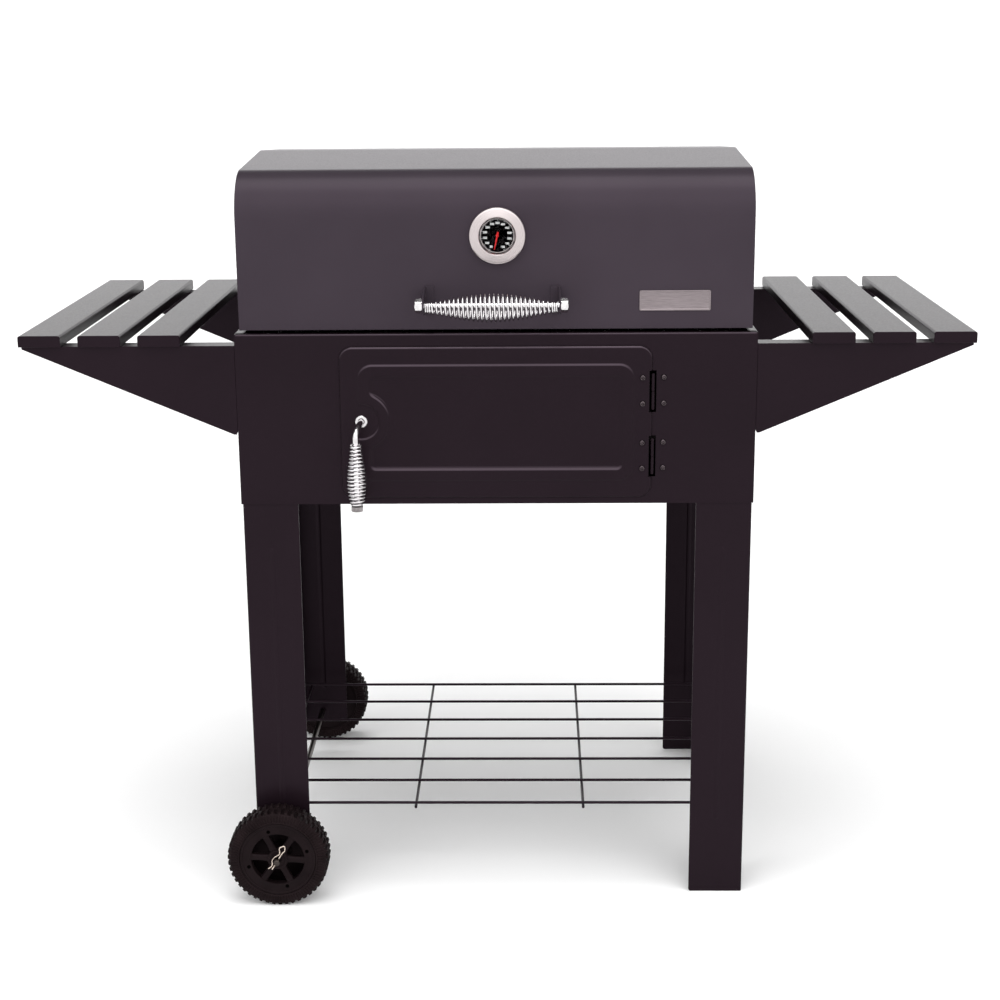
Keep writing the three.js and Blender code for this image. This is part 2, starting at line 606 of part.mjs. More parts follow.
const clipYs = [FRONT_WHEEL_Y - CLIP_SETBACK, REAR_WHEEL_Y + WHEEL_WIDTH + CLIP_SETBACK];
const clipHoles = clipYs.map((y) => {
  const holeRadius = CLIP_WIRE_RADIUS + WIRE_HOLE_CLEARANCE;
  const hole = new THREE.CylinderGeometry(holeRadius, holeRadius, 4 * AXLE_RADIUS, 10);
  return placed(hole.rotateZ(Math.PI / 2), y, -CLIP_TURN);
});
add("axle", cut(rodY(AXLE_X, AXLE_FRONT, AXLE_REAR, AXLE_Z, AXLE_RADIUS, 16), ...clipHoles), "zinc");
const wheelYs = [FRONT_WHEEL_Y, REAR_WHEEL_Y];
for (const [i, end] of ["front", "rear"].entries()) {
  const outward = i === 0 ? 0 : Math.PI;
  const y = i === 0 ? wheelYs[0] : wheelYs[1] + WHEEL_WIDTH;
  const turned = (geometry) => placed(geometry.rotateX(outward), y);
  add(`tyre_${end}`, turned(tyre()), "rubberlike");
  add(`wheel_hub_${end}`, turned(hub()), "plastic");
  add(`axle_clip_${end}`, placed(axleClip(), clipYs[i], -CLIP_TURN), "zinc");
}

// ---------------------------------------------------------------- lid
// The lid's outline from the front edge over the top to the back edge, set in by inset.
function lidOutline(inset) {
  const r = LID_BEND_RADIUS - inset;
  const middle = (LID_FRONT + LID_BACK) / 2;
  const run = middle - LID_FRONT - LID_BEND_RADIUS;
  const ridge = LID_TOP - inset / Math.cos(LID_SLOPE);
  const centreZ = LID_TOP - (run * Math.sin(LID_SLOPE) + LID_BEND_RADIUS) / Math.cos(LID_SLOPE);
  const steps = 8;
  const sweep = Math.PI / 2 - LID_SLOPE;
  const front = [[LID_FRONT + inset, LID_BOTTOM]];
  for (let i = 0; i <= steps; i++) {
    const angle = Math.PI - (sweep * i) / steps;
    const y = LID_FRONT + LID_BEND_RADIUS + r * Math.cos(angle);
    front.push([y, centreZ + r * Math.sin(angle)]);
  }
  const back = front.map(([y, z]) => [2 * middle - y, z]).reverse();
  return [...front, [middle, ridge], ...back];
}

function lidShell() {
  const skin = [...lidOutline(0), ...lidOutline(SHEET).reverse()];
  const shell = prismYZ(polygon(skin.reverse()), -LID_WIDTH / 2, LID_WIDTH);
  const stemHole = rodY(THERMOMETER_X, 0, LID_FRONT + 10, THERMOMETER_Z, STEM_RADIUS + 1, 16);
  return cut(shell, stemHole);
}

function lidEnd(side) {
  const x = (side * LID_WIDTH) / 2;
  return prismYZ(polygon(lidOutline(SHEET + GAP).reverse()), side > 0 ? x - SHEET : x, SHEET);
}

add("lid_shell", lidShell(), "enamel");
for (const [name, side] of SIDES) add(`lid_end_${name}`, lidEnd(side), "enamel");

const plateRight = LID_WIDTH / 2 - PLATE_INSET;
const plateLow = LID_BOTTOM + PLATE_RISE;
const plateLeft = plateRight - PLATE_WIDTH;
const plate = roundedRectangle(plateLeft, plateRight, plateLow, plateLow + PLATE_HEIGHT, 2);
add("blank_plate", plateXZ(plate, LID_FRONT - GAP - SHEET, SHEET), "brushed");

// ---------------------------------------------------------------- lid handle
// A barrel-shaped coil, as its outer form with a bore for the rod, turned about Y from 0.
function coilForm(length, radius, boreRadius) {
  const steps = 10;
  const profile = [];
  for (let i = 0; i <= steps; i++) {
    const swell = Math.sin((Math.PI * i) / steps) ** 1.2;
    profile.push([COIL_END_RADIUS + (radius - COIL_END_RADIUS) * swell, (length * i) / steps]);
  }
  return lathe([[boreRadius, 0], ...profile, [boreRadius, length], [boreRadius, 0]], 14);
}

function hexagon(across, thickness) {
  return new THREE.CylinderGeometry(across / Math.sqrt(3), across / Math.sqrt(3), thickness, 6);
}

function handleBracket(side) {
  const outer = HANDLE_X + (side * HANDLE_SPAN) / 2;
  const inner = outer - side * HANDLE_BRACKET_THICKNESS;
  const foot = LID_FRONT - GAP;
  const low = HANDLE_Z - HANDLE_BRACKET_HEIGHT / 2;
  const high = HANDLE_Z + HANDLE_BRACKET_HEIGHT / 2;
  const shape = new THREE.Shape();
  shape.moveTo(foot, low);
  shape.lineTo(foot, high);
  shape.absarc(HANDLE_Y, HANDLE_Z, HANDLE_BRACKET_END, Math.PI / 2, (3 * Math.PI) / 2);
  const web = prismYZ(shape, Math.min(outer, inner), HANDLE_BRACKET_THICKNESS);
  const pad = [outer, outer - side * HANDLE_BRACKET_FOOT, foot - HANDLE_BRACKET_THICKNESS, foot];
  const holeRadius = HANDLE_ROD_RADIUS + PIN_CLEARANCE;
  const hole = rodX(outer - 9 * side, outer + 9 * side, HANDLE_Y, HANDLE_Z, holeRadius, 16);
  return cut(join(web, box(...pad, low, high)), hole);
}

for (const [name, side] of SIDES) {
  add(`handle_bracket_${name}`, handleBracket(side), "enamel");
  const x = HANDLE_X + side * (HANDLE_SPAN / 2 + GAP + HANDLE_NUT_THICKNESS / 2);
  const nut = hexagon(HANDLE_NUT_ACROSS, HANDLE_NUT_THICKNESS).rotateZ(Math.PI / 2);
  add(`handle_nut_${name}`, nut.translate(x, HANDLE_Y, HANDLE_Z), "chrome");
}
const rodHalf = HANDLE_SPAN / 2;
const rodEnds = [HANDLE_X - rodHalf, HANDLE_X + rodHalf];
const handleRod = rodX(...rodEnds, HANDLE_Y, HANDLE_Z, HANDLE_ROD_RADIUS, 16);
add("handle_rod", handleRod, "chrome");
const handleCoilLength = HANDLE_SPAN - 2 * HANDLE_BRACKET_THICKNESS - 2 * GAP;
const handleBore = HANDLE_ROD_RADIUS + COIL_BORE_CLEARANCE + HANDLE_COIL_SAG / 2;
const handleCoil = coilForm(handleCoilLength, HANDLE_COIL_RADIUS, handleBore);
handleCoil.translate(0, -handleCoilLength / 2, 0).rotateZ(-Math.PI / 2);
add("handle_coil", handleCoil.translate(HANDLE_X, HANDLE_Y, HANDLE_Z - HANDLE_COIL_SAG), "chrome");

// ---------------------------------------------------------------- thermometer
const CASE_BACK = LID_FRONT - GAP;
const CASE_FLOOR = 3;
const DIAL_FACE = CASE_FLOOR + GAP + DIAL_THICKNESS;
const wall = DIAL_RADIUS + GAP + 0.7;

// A profile of [radius, distance in front of the lid] points turned about the dial's axis.
function dialLathe(points, segments) {
  const turned = lathe(points, segments).rotateX(Math.PI);
  return turned.translate(THERMOMETER_X, CASE_BACK, THERMOMETER_Z);
}

function dialDisc(radius, from, thickness) {
  const y = CASE_BACK - from;
  return rodY(THERMOMETER_X, y - thickness, y, THERMOMETER_Z, radius, 28);
}

const caseProfile = [
  [0, 0],
  [BEZEL_RADIUS - 1, 0],
  [BEZEL_RADIUS, 1],
  [BEZEL_RADIUS, 4],
  [BEZEL_RADIUS - 6, BEZEL_DEPTH - 2],
  [BEZEL_RADIUS - 8, BEZEL_DEPTH],
  [BEZEL_INNER_RADIUS + 1, BEZEL_DEPTH],
  [BEZEL_INNER_RADIUS, BEZEL_DEPTH - 1],
  [wall, BEZEL_DEPTH - 4],
  [wall, CASE_FLOOR],
  [0, CASE_FLOOR],
];
add("thermometer_case", dialLathe(caseProfile, 32), "brushed");
add("thermometer_dial", dialDisc(DIAL_RADIUS, CASE_FLOOR + GAP, DIAL_THICKNESS), "dial");
add("thermometer_glass", dialDisc(DIAL_RADIUS, BEZEL_DEPTH - 5.5, DIAL_THICKNESS), "glass");
const stemY = CASE_BACK + GAP;
const stem = rodY(THERMOMETER_X, stemY, stemY + STEM_LENGTH, THERMOMETER_Z, STEM_RADIUS, 16);
add("thermometer_stem", stem, "brushed");

function needle() {
  const width = 1.6;
  const tail = 4;
  const blade = polygon([
    [-width / 2, -tail],
    [width / 2, -tail],
    [0.3, NEEDLE_LENGTH],
    [-0.3, NEEDLE_LENGTH],
  ]);
  const bossDisc = new THREE.CylinderGeometry(2.4, 2.4, 1.2, 12).translate(0, 0.6, 0);
  const turned = join(plateXZ(blade, 0.2, 0.8), bossDisc).rotateY(NEEDLE_ANGLE);
  return turned.translate(THERMOMETER_X, CASE_BACK - DIAL_FACE - GAP - 1.2, THERMOMETER_Z);
}
add("thermometer_needle", needle(), "needle");

// ---------------------------------------------------------------- lid hinges
// Each hinge has a fixed leaf that carries the pin and a leaf on the lid that turns on it.
function fixedLidLeaf(x, side) {
  const inner = x - (side * LID_HINGE_LENGTH) / 2;
  const outer = x + (side * LID_HINGE_LENGTH) / 2;
  const face = FIREBOX_DEPTH + GAP;
  const leafBack = face + LID_LEAF_THICKNESS;
  const leafTop = LID_AXIS_Z - LID_FIXED_LEAF_TOP;
  const barrelEnd = x - (side * LID_KNUCKLE_GAP) / 2;
  return join(
    box(inner, outer, face, leafBack, leafTop - LID_LEAF_HEIGHT, leafTop),
    box(inner, barrelEnd, face, leafBack, leafTop - 1, LID_AXIS_Z),
    rodX(inner, barrelEnd, LID_AXIS_Y, LID_AXIS_Z, LID_HINGE_RADIUS, 16),
    rodX(inner, outer, LID_AXIS_Y, LID_AXIS_Z, LID_PIN_RADIUS, 16),
    box(inner, barrelEnd, face, LID_AXIS_Y, LID_AXIS_Z - 2 * LID_LEAF_THICKNESS, LID_AXIS_Z),
  );
}

function movingLidLeaf(x, side) {
  const outer = x + (side * LID_HINGE_LENGTH) / 2;
  const barrelEnd = x + (side * LID_KNUCKLE_GAP) / 2;
  const face = LID_BACK + GAP;
  const armLow = LID_AXIS_Z + PIN_CLEARANCE + LID_PIN_RADIUS - LID_ARM_LAP;
  const whole = join(
    rodX(barrelEnd, outer, LID_AXIS_Y, LID_AXIS_Z, LID_HINGE_RADIUS, 16),
    box(barrelEnd, outer, face, LID_AXIS_Y, armLow, armLow + LID_LEAF_THICKNESS),
    box(barrelEnd, outer, face, face + LID_LEAF_THICKNESS, armLow, armLow + LID_LEAF_HEIGHT),
  );
  return cut(whole, rodX(x, outer + side, LID_AXIS_Y, LID_AXIS_Z, LID_PIN_RADIUS + PIN_CLEARANCE, 16));
}

for (const [name, side] of SIDES) {
  add(`lid_hinge_fixed_${name}`, fixedLidLeaf(side * LID_HINGE_X, side), "enamel");
  add(`lid_hinge_moving_${name}`, movingLidLeaf(side * LID_HINGE_X, side), "enamel");
}

// ---------------------------------------------------------------- ash door
// The door is a shallow tray. Its pressed ridge runs round the panel and swings past the latch.
function doorPanel() {
  const edge = (inset, radius) => {
    const xs = [DOOR_LEFT + inset, DOOR_RIGHT - inset];
    return roundedRectangle(...xs, DOOR_BOTTOM + inset, DOOR_TOP - inset, radius);
  };
  const outer = plateXZ(edge(0, DOOR_RADIUS), DOOR_FACE, DOOR_DEPTH);
  const hollow = plateXZ(edge(SHEET, DOOR_RADIUS - SHEET), DOOR_FACE + SHEET, DOOR_DEPTH);
  const ridgeFace = DOOR_FACE - RIDGE_HEIGHT;
  const ridgeBack = DOOR_FACE + SHEET / 2;
  const ridge = plateXZ(edge(RIDGE_INSET, RIDGE_RADIUS), ridgeFace, ridgeBack - ridgeFace);
  const panelEdge = edge(RIDGE_INSET + RIDGE_WIDTH, PANEL_RADIUS);
  const panel = plateXZ(panelEdge, ridgeFace - 1, RIDGE_HEIGHT + SHEET + 1);
  const boss = rodY(LATCH_X, ridgeFace, ridgeBack, LATCH_Z, BOSS_RADIUS, 32);
  const seat = rodY(LATCH_X, ridgeFace - 1, 0, LATCH_Z, BOSS_SEAT_RADIUS, 32);
  const besideXs = [DOOR_LEFT - DOOR_OVERLAP, DOOR_LEFT + RIDGE_INSET];
  const beside = box(...besideXs, ridgeFace - 1, 0, DOOR_BOTTOM, DOOR_TOP);
  const raised = cut(join(cut(ridge, panel), boss), seat, beside);
  const latchHoleRadius = LATCH_ROD_RADIUS + LATCH_CLEARANCE;
  const latchHole = rodY(LATCH_X, -BOSS_RADIUS, BOSS_RADIUS, LATCH_Z, latchHoleRadius, 16);
  return cut(join(cut(outer, hollow), raised), latchHole, ...hingeSlots);
}
add("door_panel", doorPanel(), "enamel");

// Each hinge has its knuckle in a slot and its leaves behind the sheets.
function doorHinge(z) {
  const low = z - HINGE_LENGTH / 2;
  const high = z + HINGE_LENGTH / 2;
  const tube = (za, zb) => rodZ(HINGE_AXIS_X, HINGE_AXIS_Y, za, zb, HINGE_RADIUS, 16);
  const bore = rodZ(HINGE_AXIS_X, HINGE_AXIS_Y, z, high + 1, HINGE_PIN_RADIUS + GAP, 12);
  const pin = rodZ(HINGE_AXIS_X, HINGE_AXIS_Y, z - 2, high - 0.5, HINGE_PIN_RADIUS, 12);
  const neck = HINGE_AXIS_X + HINGE_PIN_RADIUS + 2 * GAP;
  const leafBack = LEG_SKIN + HINGE_LEAF_THICKNESS;
  const fixed = join(
    tube(low, z - GAP),
    pin,
    box(neck, neck + HINGE_LEAF_THICKNESS, HINGE_AXIS_Y, leafBack, low, z - GAP),
    box(neck, HINGE_AXIS_X + HINGE_LEAF, LEG_SKIN, leafBack, low, z - GAP),
    box(HINGE_AXIS_X + HINGE_SLOT / 2, HINGE_AXIS_X + HINGE_LEAF, LEG_SKIN, leafBack, low, high),
  );
  const leafFront = DOOR_FACE + SHEET + GAP;
  const movingBack = leafFront + HINGE_LEAF_THICKNESS;
  const leafEnd = HINGE_AXIS_X - HINGE_LEAF;
  const tail = HINGE_AXIS_X - HINGE_SLOT / 2;
  const moving = join(
    tube(z + GAP, high),
    box(leafEnd, HINGE_AXIS_X - HINGE_PIN_RADIUS, leafFront, movingBack, z + GAP, high),
    box(leafEnd, tail, leafFront, movingBack, low, high),
  );
  return { fixed, moving: cut(moving, bore) };
}
for (const [i, name] of ["lower", "upper"].entries()) {
  const hinge = doorHinge(HINGE_HEIGHTS[i]);
  add(`door_hinge_fixed_${name}`, hinge.fixed, "enamel");
  add(`door_hinge_moving_${name}`, hinge.moving, "enamel");
}

// ---------------------------------------------------------------- door latch
const gripX = LATCH_X + LATCH_SHIFT;
const nutTop = LATCH_COIL_TOP - LATCH_COIL_LENGTH - GAP;
const rodPoints = [
  new THREE.Vector3(LATCH_X, 11, LATCH_Z - LATCH_HOOK),
  new THREE.Vector3(LATCH_X, 11, LATCH_Z - 8),
  new THREE.Vector3(LATCH_X, 8.5, LATCH_Z - 2),
  new THREE.Vector3(LATCH_X, 3, LATCH_Z),
  new THREE.Vector3(LATCH_X, -8, LATCH_Z),
  new THREE.Vector3(LATCH_X, -22, LATCH_Z),
  new THREE.Vector3(LATCH_X + LATCH_SHIFT * 0.35, LATCH_Y + 8, LATCH_Z - 3),
  new THREE.Vector3(LATCH_X + LATCH_SHIFT * 0.8, LATCH_Y + 1, LATCH_Z - 12),
  new THREE.Vector3(gripX, LATCH_Y, LATCH_COIL_TOP + 2),
  new THREE.Vector3(gripX, LATCH_Y, (LATCH_COIL_TOP + nutTop) / 2),
  new THREE.Vector3(gripX, LATCH_Y, nutTop + GAP),
];
add("latch_rod", tubeAlong(rodPoints, LATCH_ROD_RADIUS, 8, 28), "chrome");

const washerFront = DOOR_FACE - GAP - SHEET;
const washer = cut(
  rodY(LATCH_X, washerFront, washerFront + SHEET, LATCH_Z, LATCH_WASHER_RADIUS, 24),
  rodY(LATCH_X, washerFront - 1, 0, LATCH_Z, LATCH_ROD_RADIUS + LATCH_CLEARANCE, 16),
);
add("latch_washer", washer, "chrome");
const latchCoilBore = LATCH_ROD_RADIUS + COIL_BORE_CLEARANCE;
const latchCoil = coilForm(LATCH_COIL_LENGTH, LATCH_COIL_RADIUS, latchCoilBore);
latchCoil.rotateX(Math.PI / 2).translate(gripX, LATCH_Y, LATCH_COIL_TOP - LATCH_COIL_LENGTH);
add("latch_coil", latchCoil, "chrome");
const latchNut = hexagon(LATCH_NUT_ACROSS, LATCH_NUT_THICKNESS).rotateX(Math.PI / 2);
add("latch_nut", latchNut.translate(gripX, LATCH_Y, nutTop - LATCH_NUT_THICKNESS / 2), "chrome");

// ---------------------------------------------------------------- grates and ash pan
// A cast grate of bars between two ends, from xa to xb. Each stay is at a share of its depth.
function grate(xa, xb, z, stays) {
  const front = GRATE_MARGIN;
  const depth = FIREBOX_DEPTH - 2 * GRATE_MARGIN;
  const count = Math.floor((xb - xa - GRATE_BAR) / (GRATE_BAR + GRATE_SLOT));
  const pitch = (xb - xa - GRATE_BAR) / count;
  const slots = [];
  for (let i = 0; i < count; i++) {
    const x = xa + GRATE_BAR + i * pitch;
    for (let j = 1; j < stays.length; j++) {
      const before = front + depth * stays[j - 1] + GRATE_STAY / 2;
      const ys = [before, front + depth * stays[j] - GRATE_STAY / 2];
      slots.push(box(x, x + pitch - GRATE_BAR, ...ys, z - 1, z + GRATE_THICKNESS + 1));
    }
  }
  return cut(box(xa, xb, front, front + depth, z, z + GRATE_THICKNESS), ...slots);
}

const grateHalf = HALF_WIDTH - GRATE_MARGIN;
const cookingZ = FIREBOX_TOP - GRATE_LEDGE_DROP + GAP;
add("cooking_grate_left", grate(-grateHalf, -GRATE_SPLIT / 2, cookingZ, [0, 0.5, 1]), "castIron");
add("cooking_grate_right", grate(GRATE_SPLIT / 2, grateHalf, cookingZ, [0, 0.5, 1]), "castIron");
const charcoalZ = FIREBOX_BOTTOM + CHARCOAL_LEDGE_RISE + GAP;
add("charcoal_grate", grate(-grateHalf, grateHalf, charcoalZ, [0, 1]), "castIron");

function ashPan() {
  const bottom = FIREBOX_BOTTOM + FLOOR_RISE + GAP;
  const front = GRATE_MARGIN;
  const back = FIREBOX_DEPTH - GRATE_MARGIN;
  const half = DOOR_OPENING.right - PAN_CLEARANCE;
  const inner = [-half + SHEET, half - SHEET, front + SHEET, back - SHEET];
  return cut(
    box(-half, half, front, back, bottom, bottom + PAN_HEIGHT),
    box(...inner, bottom + SHEET, bottom + PAN_HEIGHT + 1),
  );
}
add("ash_pan", ashPan(), "enamel");

export default grill;
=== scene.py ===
# The looks of a cart-style charcoal grill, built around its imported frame. Metres, +Z up.
import json
import math

import bmesh
import bpy
from mathutils import Matrix, Vector

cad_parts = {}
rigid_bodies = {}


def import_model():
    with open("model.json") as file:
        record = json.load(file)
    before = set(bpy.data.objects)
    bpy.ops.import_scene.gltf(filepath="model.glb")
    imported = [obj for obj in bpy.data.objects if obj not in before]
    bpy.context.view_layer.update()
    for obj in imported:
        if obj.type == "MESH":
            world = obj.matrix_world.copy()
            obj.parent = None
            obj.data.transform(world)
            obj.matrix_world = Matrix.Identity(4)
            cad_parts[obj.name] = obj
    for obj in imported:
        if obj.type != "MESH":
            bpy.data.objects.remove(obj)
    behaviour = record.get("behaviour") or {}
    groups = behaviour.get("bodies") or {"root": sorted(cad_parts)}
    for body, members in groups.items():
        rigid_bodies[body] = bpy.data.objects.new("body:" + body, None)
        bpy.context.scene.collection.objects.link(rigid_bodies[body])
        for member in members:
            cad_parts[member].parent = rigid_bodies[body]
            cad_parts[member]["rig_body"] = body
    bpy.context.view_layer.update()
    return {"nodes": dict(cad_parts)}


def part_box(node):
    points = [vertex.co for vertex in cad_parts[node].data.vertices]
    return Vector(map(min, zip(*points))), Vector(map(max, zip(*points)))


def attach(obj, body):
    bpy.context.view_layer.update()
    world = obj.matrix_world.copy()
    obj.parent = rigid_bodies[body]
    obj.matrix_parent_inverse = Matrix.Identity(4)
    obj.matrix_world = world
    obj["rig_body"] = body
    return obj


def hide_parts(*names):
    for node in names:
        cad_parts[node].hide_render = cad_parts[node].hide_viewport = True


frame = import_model()

MM = 0.001
COAT_SHINE = 0.115
# Specular level of the painted highlight on upward-facing slopes
PAINTED_HIGHLIGHT_SHINE = 0.55
DIAL_NUMBER_REACH = 0.765
DOOR_SCREW_INSET = 15.4 * MM
PANEL_SCREW_INSET = 16.2 * MM
LATCH_COIL_END_RADIUS = 9.6 * MM
LATCH_COIL_TURNS = 17.5
SHEET = 1.5 * MM
X_AXIS, Y_AXIS, Z_AXIS = Vector((1, 0, 0)), Vector((0, 1, 0)), Vector((0, 0, 1))

# Levels that the frame gives
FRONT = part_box("firebox_front")[0].y
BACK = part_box("firebox_rear")[1].y
LID_LOW, LID_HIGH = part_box("lid_shell")


# ------------------------------------------------------------------ camera, floor and light
CAMERA_PLACE = Vector((0.0547, FRONT - 2.660, 1.3485))
CAMERA_YAW = math.radians(-1.07)
CAMERA_PITCH = math.radians(14.74)
CAMERA_ROLL = math.radians(-0.467)
CAMERA_LENS = 65.48


def make_camera():
    forward = Vector((
        math.sin(CAMERA_YAW) * math.cos(CAMERA_PITCH),
        math.cos(CAMERA_YAW) * math.cos(CAMERA_PITCH),
        -math.sin(CAMERA_PITCH),
    ))
    level = Vector((math.cos(CAMERA_YAW), -math.sin(CAMERA_YAW), 0))
    upright = level.cross(forward)
    right = level * math.cos(CAMERA_ROLL) + upright * math.sin(CAMERA_ROLL)
    up = upright * math.cos(CAMERA_ROLL) - level * math.sin(CAMERA_ROLL)
    camera = bpy.data.objects.new("camera", bpy.data.cameras.new("camera"))
    camera.data.lens = CAMERA_LENS
    camera.data.sensor_width = 36
    camera.data.clip_end = 100
    turn = Matrix((right, up, -forward)).transposed().to_4x4()
    camera.matrix_world = Matrix.Translation(CAMERA_PLACE) @ turn
    bpy.context.scene.collection.objects.link(camera)
    bpy.context.scene.camera = camera


FRONT_WALL = 1.3
REAR_BAND = 1.8
FRONT_CANOPY = 1.0
FLOOR_FRONT, FLOOR_REACH = -5.0, 40.0


def make_stage():
    mesh = bpy.data.meshes.new("floor")
    corners = [
        (-FLOOR_REACH, FLOOR_FRONT, 0), (FLOOR_REACH, FLOOR_FRONT, 0),
        (FLOOR_REACH, FLOOR_REACH, 0), (-FLOOR_REACH, FLOOR_REACH, 0),
    ]
    mesh.from_pydata(corners, [], [(0, 1, 2, 3)])
    floor = bpy.data.objects.new("floor", mesh)
    bpy.context.scene.collection.objects.link(floor)
    material, nodes, links, shader = new_material("studio_floor")
    shader.inputs["Base Color"].default_value = (0.92, 0.92, 0.92, 1)
    shader.inputs["Roughness"].default_value = 0.9
    shader.inputs["Specular IOR Level"].default_value = 0.0
    mesh.materials.append(material)

    world = bpy.data.worlds.new("studio")
    bpy.context.scene.world = world
    world.use_nodes = True
    nodes, links = world.node_tree.nodes, world.node_tree.links
    split = nodes.new("ShaderNodeSeparateXYZ")
    links.new(nodes.new("ShaderNodeTexCoord").outputs["Generated"], split.inputs[0])

    def rise(axis, start, end):
        """0 to 1 as the direction's part along an axis goes from start to end."""
        ramp = nodes.new("ShaderNodeMapRange")
        ramp.interpolation_type = "SMOOTHSTEP"
        ramp.inputs["From Min"].default_value = start
        ramp.inputs["From Max"].default_value = end
        links.new(split.outputs[axis], ramp.inputs["Value"])
        return ramp.outputs["Result"]

    def calculate(operation, first, second):
        node = nodes.new("ShaderNodeMath")
        node.operation = operation
        for socket, value in zip(node.inputs, (first, second)):
            if isinstance(value, float):
                socket.default_value = value
            else:
                links.new(value, socket)
        return node.outputs[0]

    # A bright wall in front, a bright low band behind, and a dim ceiling over the rear
    front = calculate("MULTIPLY", rise("Y", 0.15, -0.35), rise("Z", -0.32, -0.20))
    band = calculate("MULTIPLY", rise("Y", 0.05, 0.35), rise("Z", 0.46, 0.30))
    canopy = calculate("MULTIPLY", rise("Y", -0.15, -0.4), rise("Z", 0.35, 0.6))
    strength = calculate("MULTIPLY", front, FRONT_WALL)
    strength = calculate("ADD", strength, calculate("MULTIPLY", canopy, FRONT_CANOPY))
    strength = calculate("ADD", strength, calculate("MULTIPLY", band, REAR_BAND))
    strength = calculate("ADD", strength, 0.1)
    links.new(strength, nodes["Background"].inputs["Strength"])
    nodes["Background"].inputs["Color"].default_value = (1, 1, 1, 1)

    lamp = bpy.data.lights.new("overhead", "SUN")
    lamp.energy = 1.4
    lamp.angle = math.radians(38)
    bpy.context.scene.collection.objects.link(bpy.data.objects.new("overhead", lamp))
    bpy.context.scene.view_settings.view_transform = "Standard"


# ------------------------------------------------------------------ materials
def new_material(name):
    material = bpy.data.materials.new(name)
    material.use_nodes = True
    nodes, links = material.node_tree.nodes, material.node_tree.links
    return material, nodes, links, nodes["Principled BSDF"]


def noise(nodes, links, scale, detail=2.0, stretch=None):
    """A noise in the piece's own coordinates, in metres. scale is in features per metre."""
    coordinate = nodes.new("ShaderNodeTexCoord")
    texture = nodes.new("ShaderNodeTexNoise")
    texture.inputs["Scale"].default_value = scale
    texture.inputs["Detail"].default_value = detail
    source = coordinate.outputs["Object"]
    if stretch:
        mapping = nodes.new("ShaderNodeMapping")
        mapping.inputs["Scale"].default_value = stretch
        links.new(source, mapping.inputs["Vector"])
        source = mapping.outputs["Vector"]
    links.new(source, texture.inputs["Vector"])
    return texture.outputs["Fac"]


def spread(nodes, links, value, low, high, start=0.3, end=0.7):
    """Maps a value between start and end onto low to high."""
    ramp = nodes.new("ShaderNodeMapRange")
    ramp.inputs["From Min"].default_value = start
    ramp.inputs["From Max"].default_value = end
    ramp.inputs["To Min"].default_value = low
    ramp.inputs["To Max"].default_value = high
    links.new(value, ramp.inputs["Value"])
    return ramp.outputs["Result"]


def two_tone(nodes, links, value, dark, light, start=0.35, end=0.65):
    ramp = nodes.new("ShaderNodeValToRGB")
    ramp.color_ramp.elements[0].position = start
    ramp.color_ramp.elements[0].color = (*dark, 1)
    ramp.color_ramp.elements[1].position = end
    ramp.color_ramp.elements[1].color = (*light, 1)
    links.new(value, ramp.inputs["Fac"])
    return ramp.outputs["Color"]


def add_bump(nodes, links, shader, layers):
    """Chains bump layers of (height socket, strength, distance) into the shader's normal."""
    normal = None
    for height, strength, distance in layers:
        bump = nodes.new("ShaderNodeBump")
        bump.inputs["Strength"].default_value = strength
        bump.inputs["Distance"].default_value = distance
        links.new(height, bump.inputs["Height"])
        if normal:
            links.new(normal, bump.inputs["Normal"])
        normal = bump.outputs["Normal"]
    links.new(normal, shader.inputs["Normal"])


def powder_coat(name, dark, light, rough=(0.29, 0.35), shine=COAT_SHINE):
    material, nodes, links, shader = new_material(name)
    tone = noise(nodes, links, 5, 3)
    links.new(two_tone(nodes, links, tone, dark, light), shader.inputs["Base Color"])
    grain = noise(nodes, links, 420, 2)
    links.new(spread(nodes, links, grain, *rough), shader.inputs["Roughness"])
    peel = noise(nodes, links, 650, 1.5)
    sway = noise(nodes, links, 7, 1)
    add_bump(nodes, links, shader, [(peel, 0.22, 0.12 * MM), (sway, 0.25, 1.2 * MM)])
    shader.inputs["Specular IOR Level"].default_value = shine
    shader.inputs["Specular Tint"].default_value = (1.0, 0.78, 0.95, 1)
    return material


def painted_highlight_coat(name, dark, light):
    """The same coat with a painted highlight: a higher specular level on slopes that the mesh marks with a per-point
    attribute.
    """
    material = powder_coat(name, dark, light)
    nodes, links = material.node_tree.nodes, material.node_tree.links
    shader = next(node for node in nodes if node.type == "BSDF_PRINCIPLED")
    painted_sheen = nodes.new("ShaderNodeAttribute")
    painted_sheen.attribute_name = "painted_sheen"
    links.new(
        spread(nodes, links, painted_sheen.outputs["Fac"], COAT_SHINE, PAINTED_HIGHLIGHT_SHINE), shader.inputs[
            "Specular IOR Level"
        ],
    )
    return material


def mark_painted_highlight(mesh):
    """Marks where the painted highlight goes: slopes that lean up get 1, other slopes less, and flat faces get 0."""
    painted_sheen = mesh.attributes.new("painted_sheen", "FLOAT", "POINT")
    for vert, value in zip(mesh.vertices, painted_sheen.data):
        slope = min((1 - abs(vert.normal.y)) * 5, 1)
        value.value = min(0.25 * slope + 1.6 * max(vert.normal.z, 0), 1)


def metal(name, dark, light, rough, grain=180, stretch=None, bump=(0.1, 0.02 * MM)):
    material, nodes, links, shader = new_material(name)
    shader.inputs["Metallic"].default_value = 1.0
    field = noise(nodes, links, grain, 3, stretch)
    links.new(two_tone(nodes, links, field, dark, light), shader.inputs["Base Color"])
    links.new(spread(nodes, links, field, *rough), shader.inputs["Roughness"])
    add_bump(nodes, links, shader, [(field, *bump)])
    return material


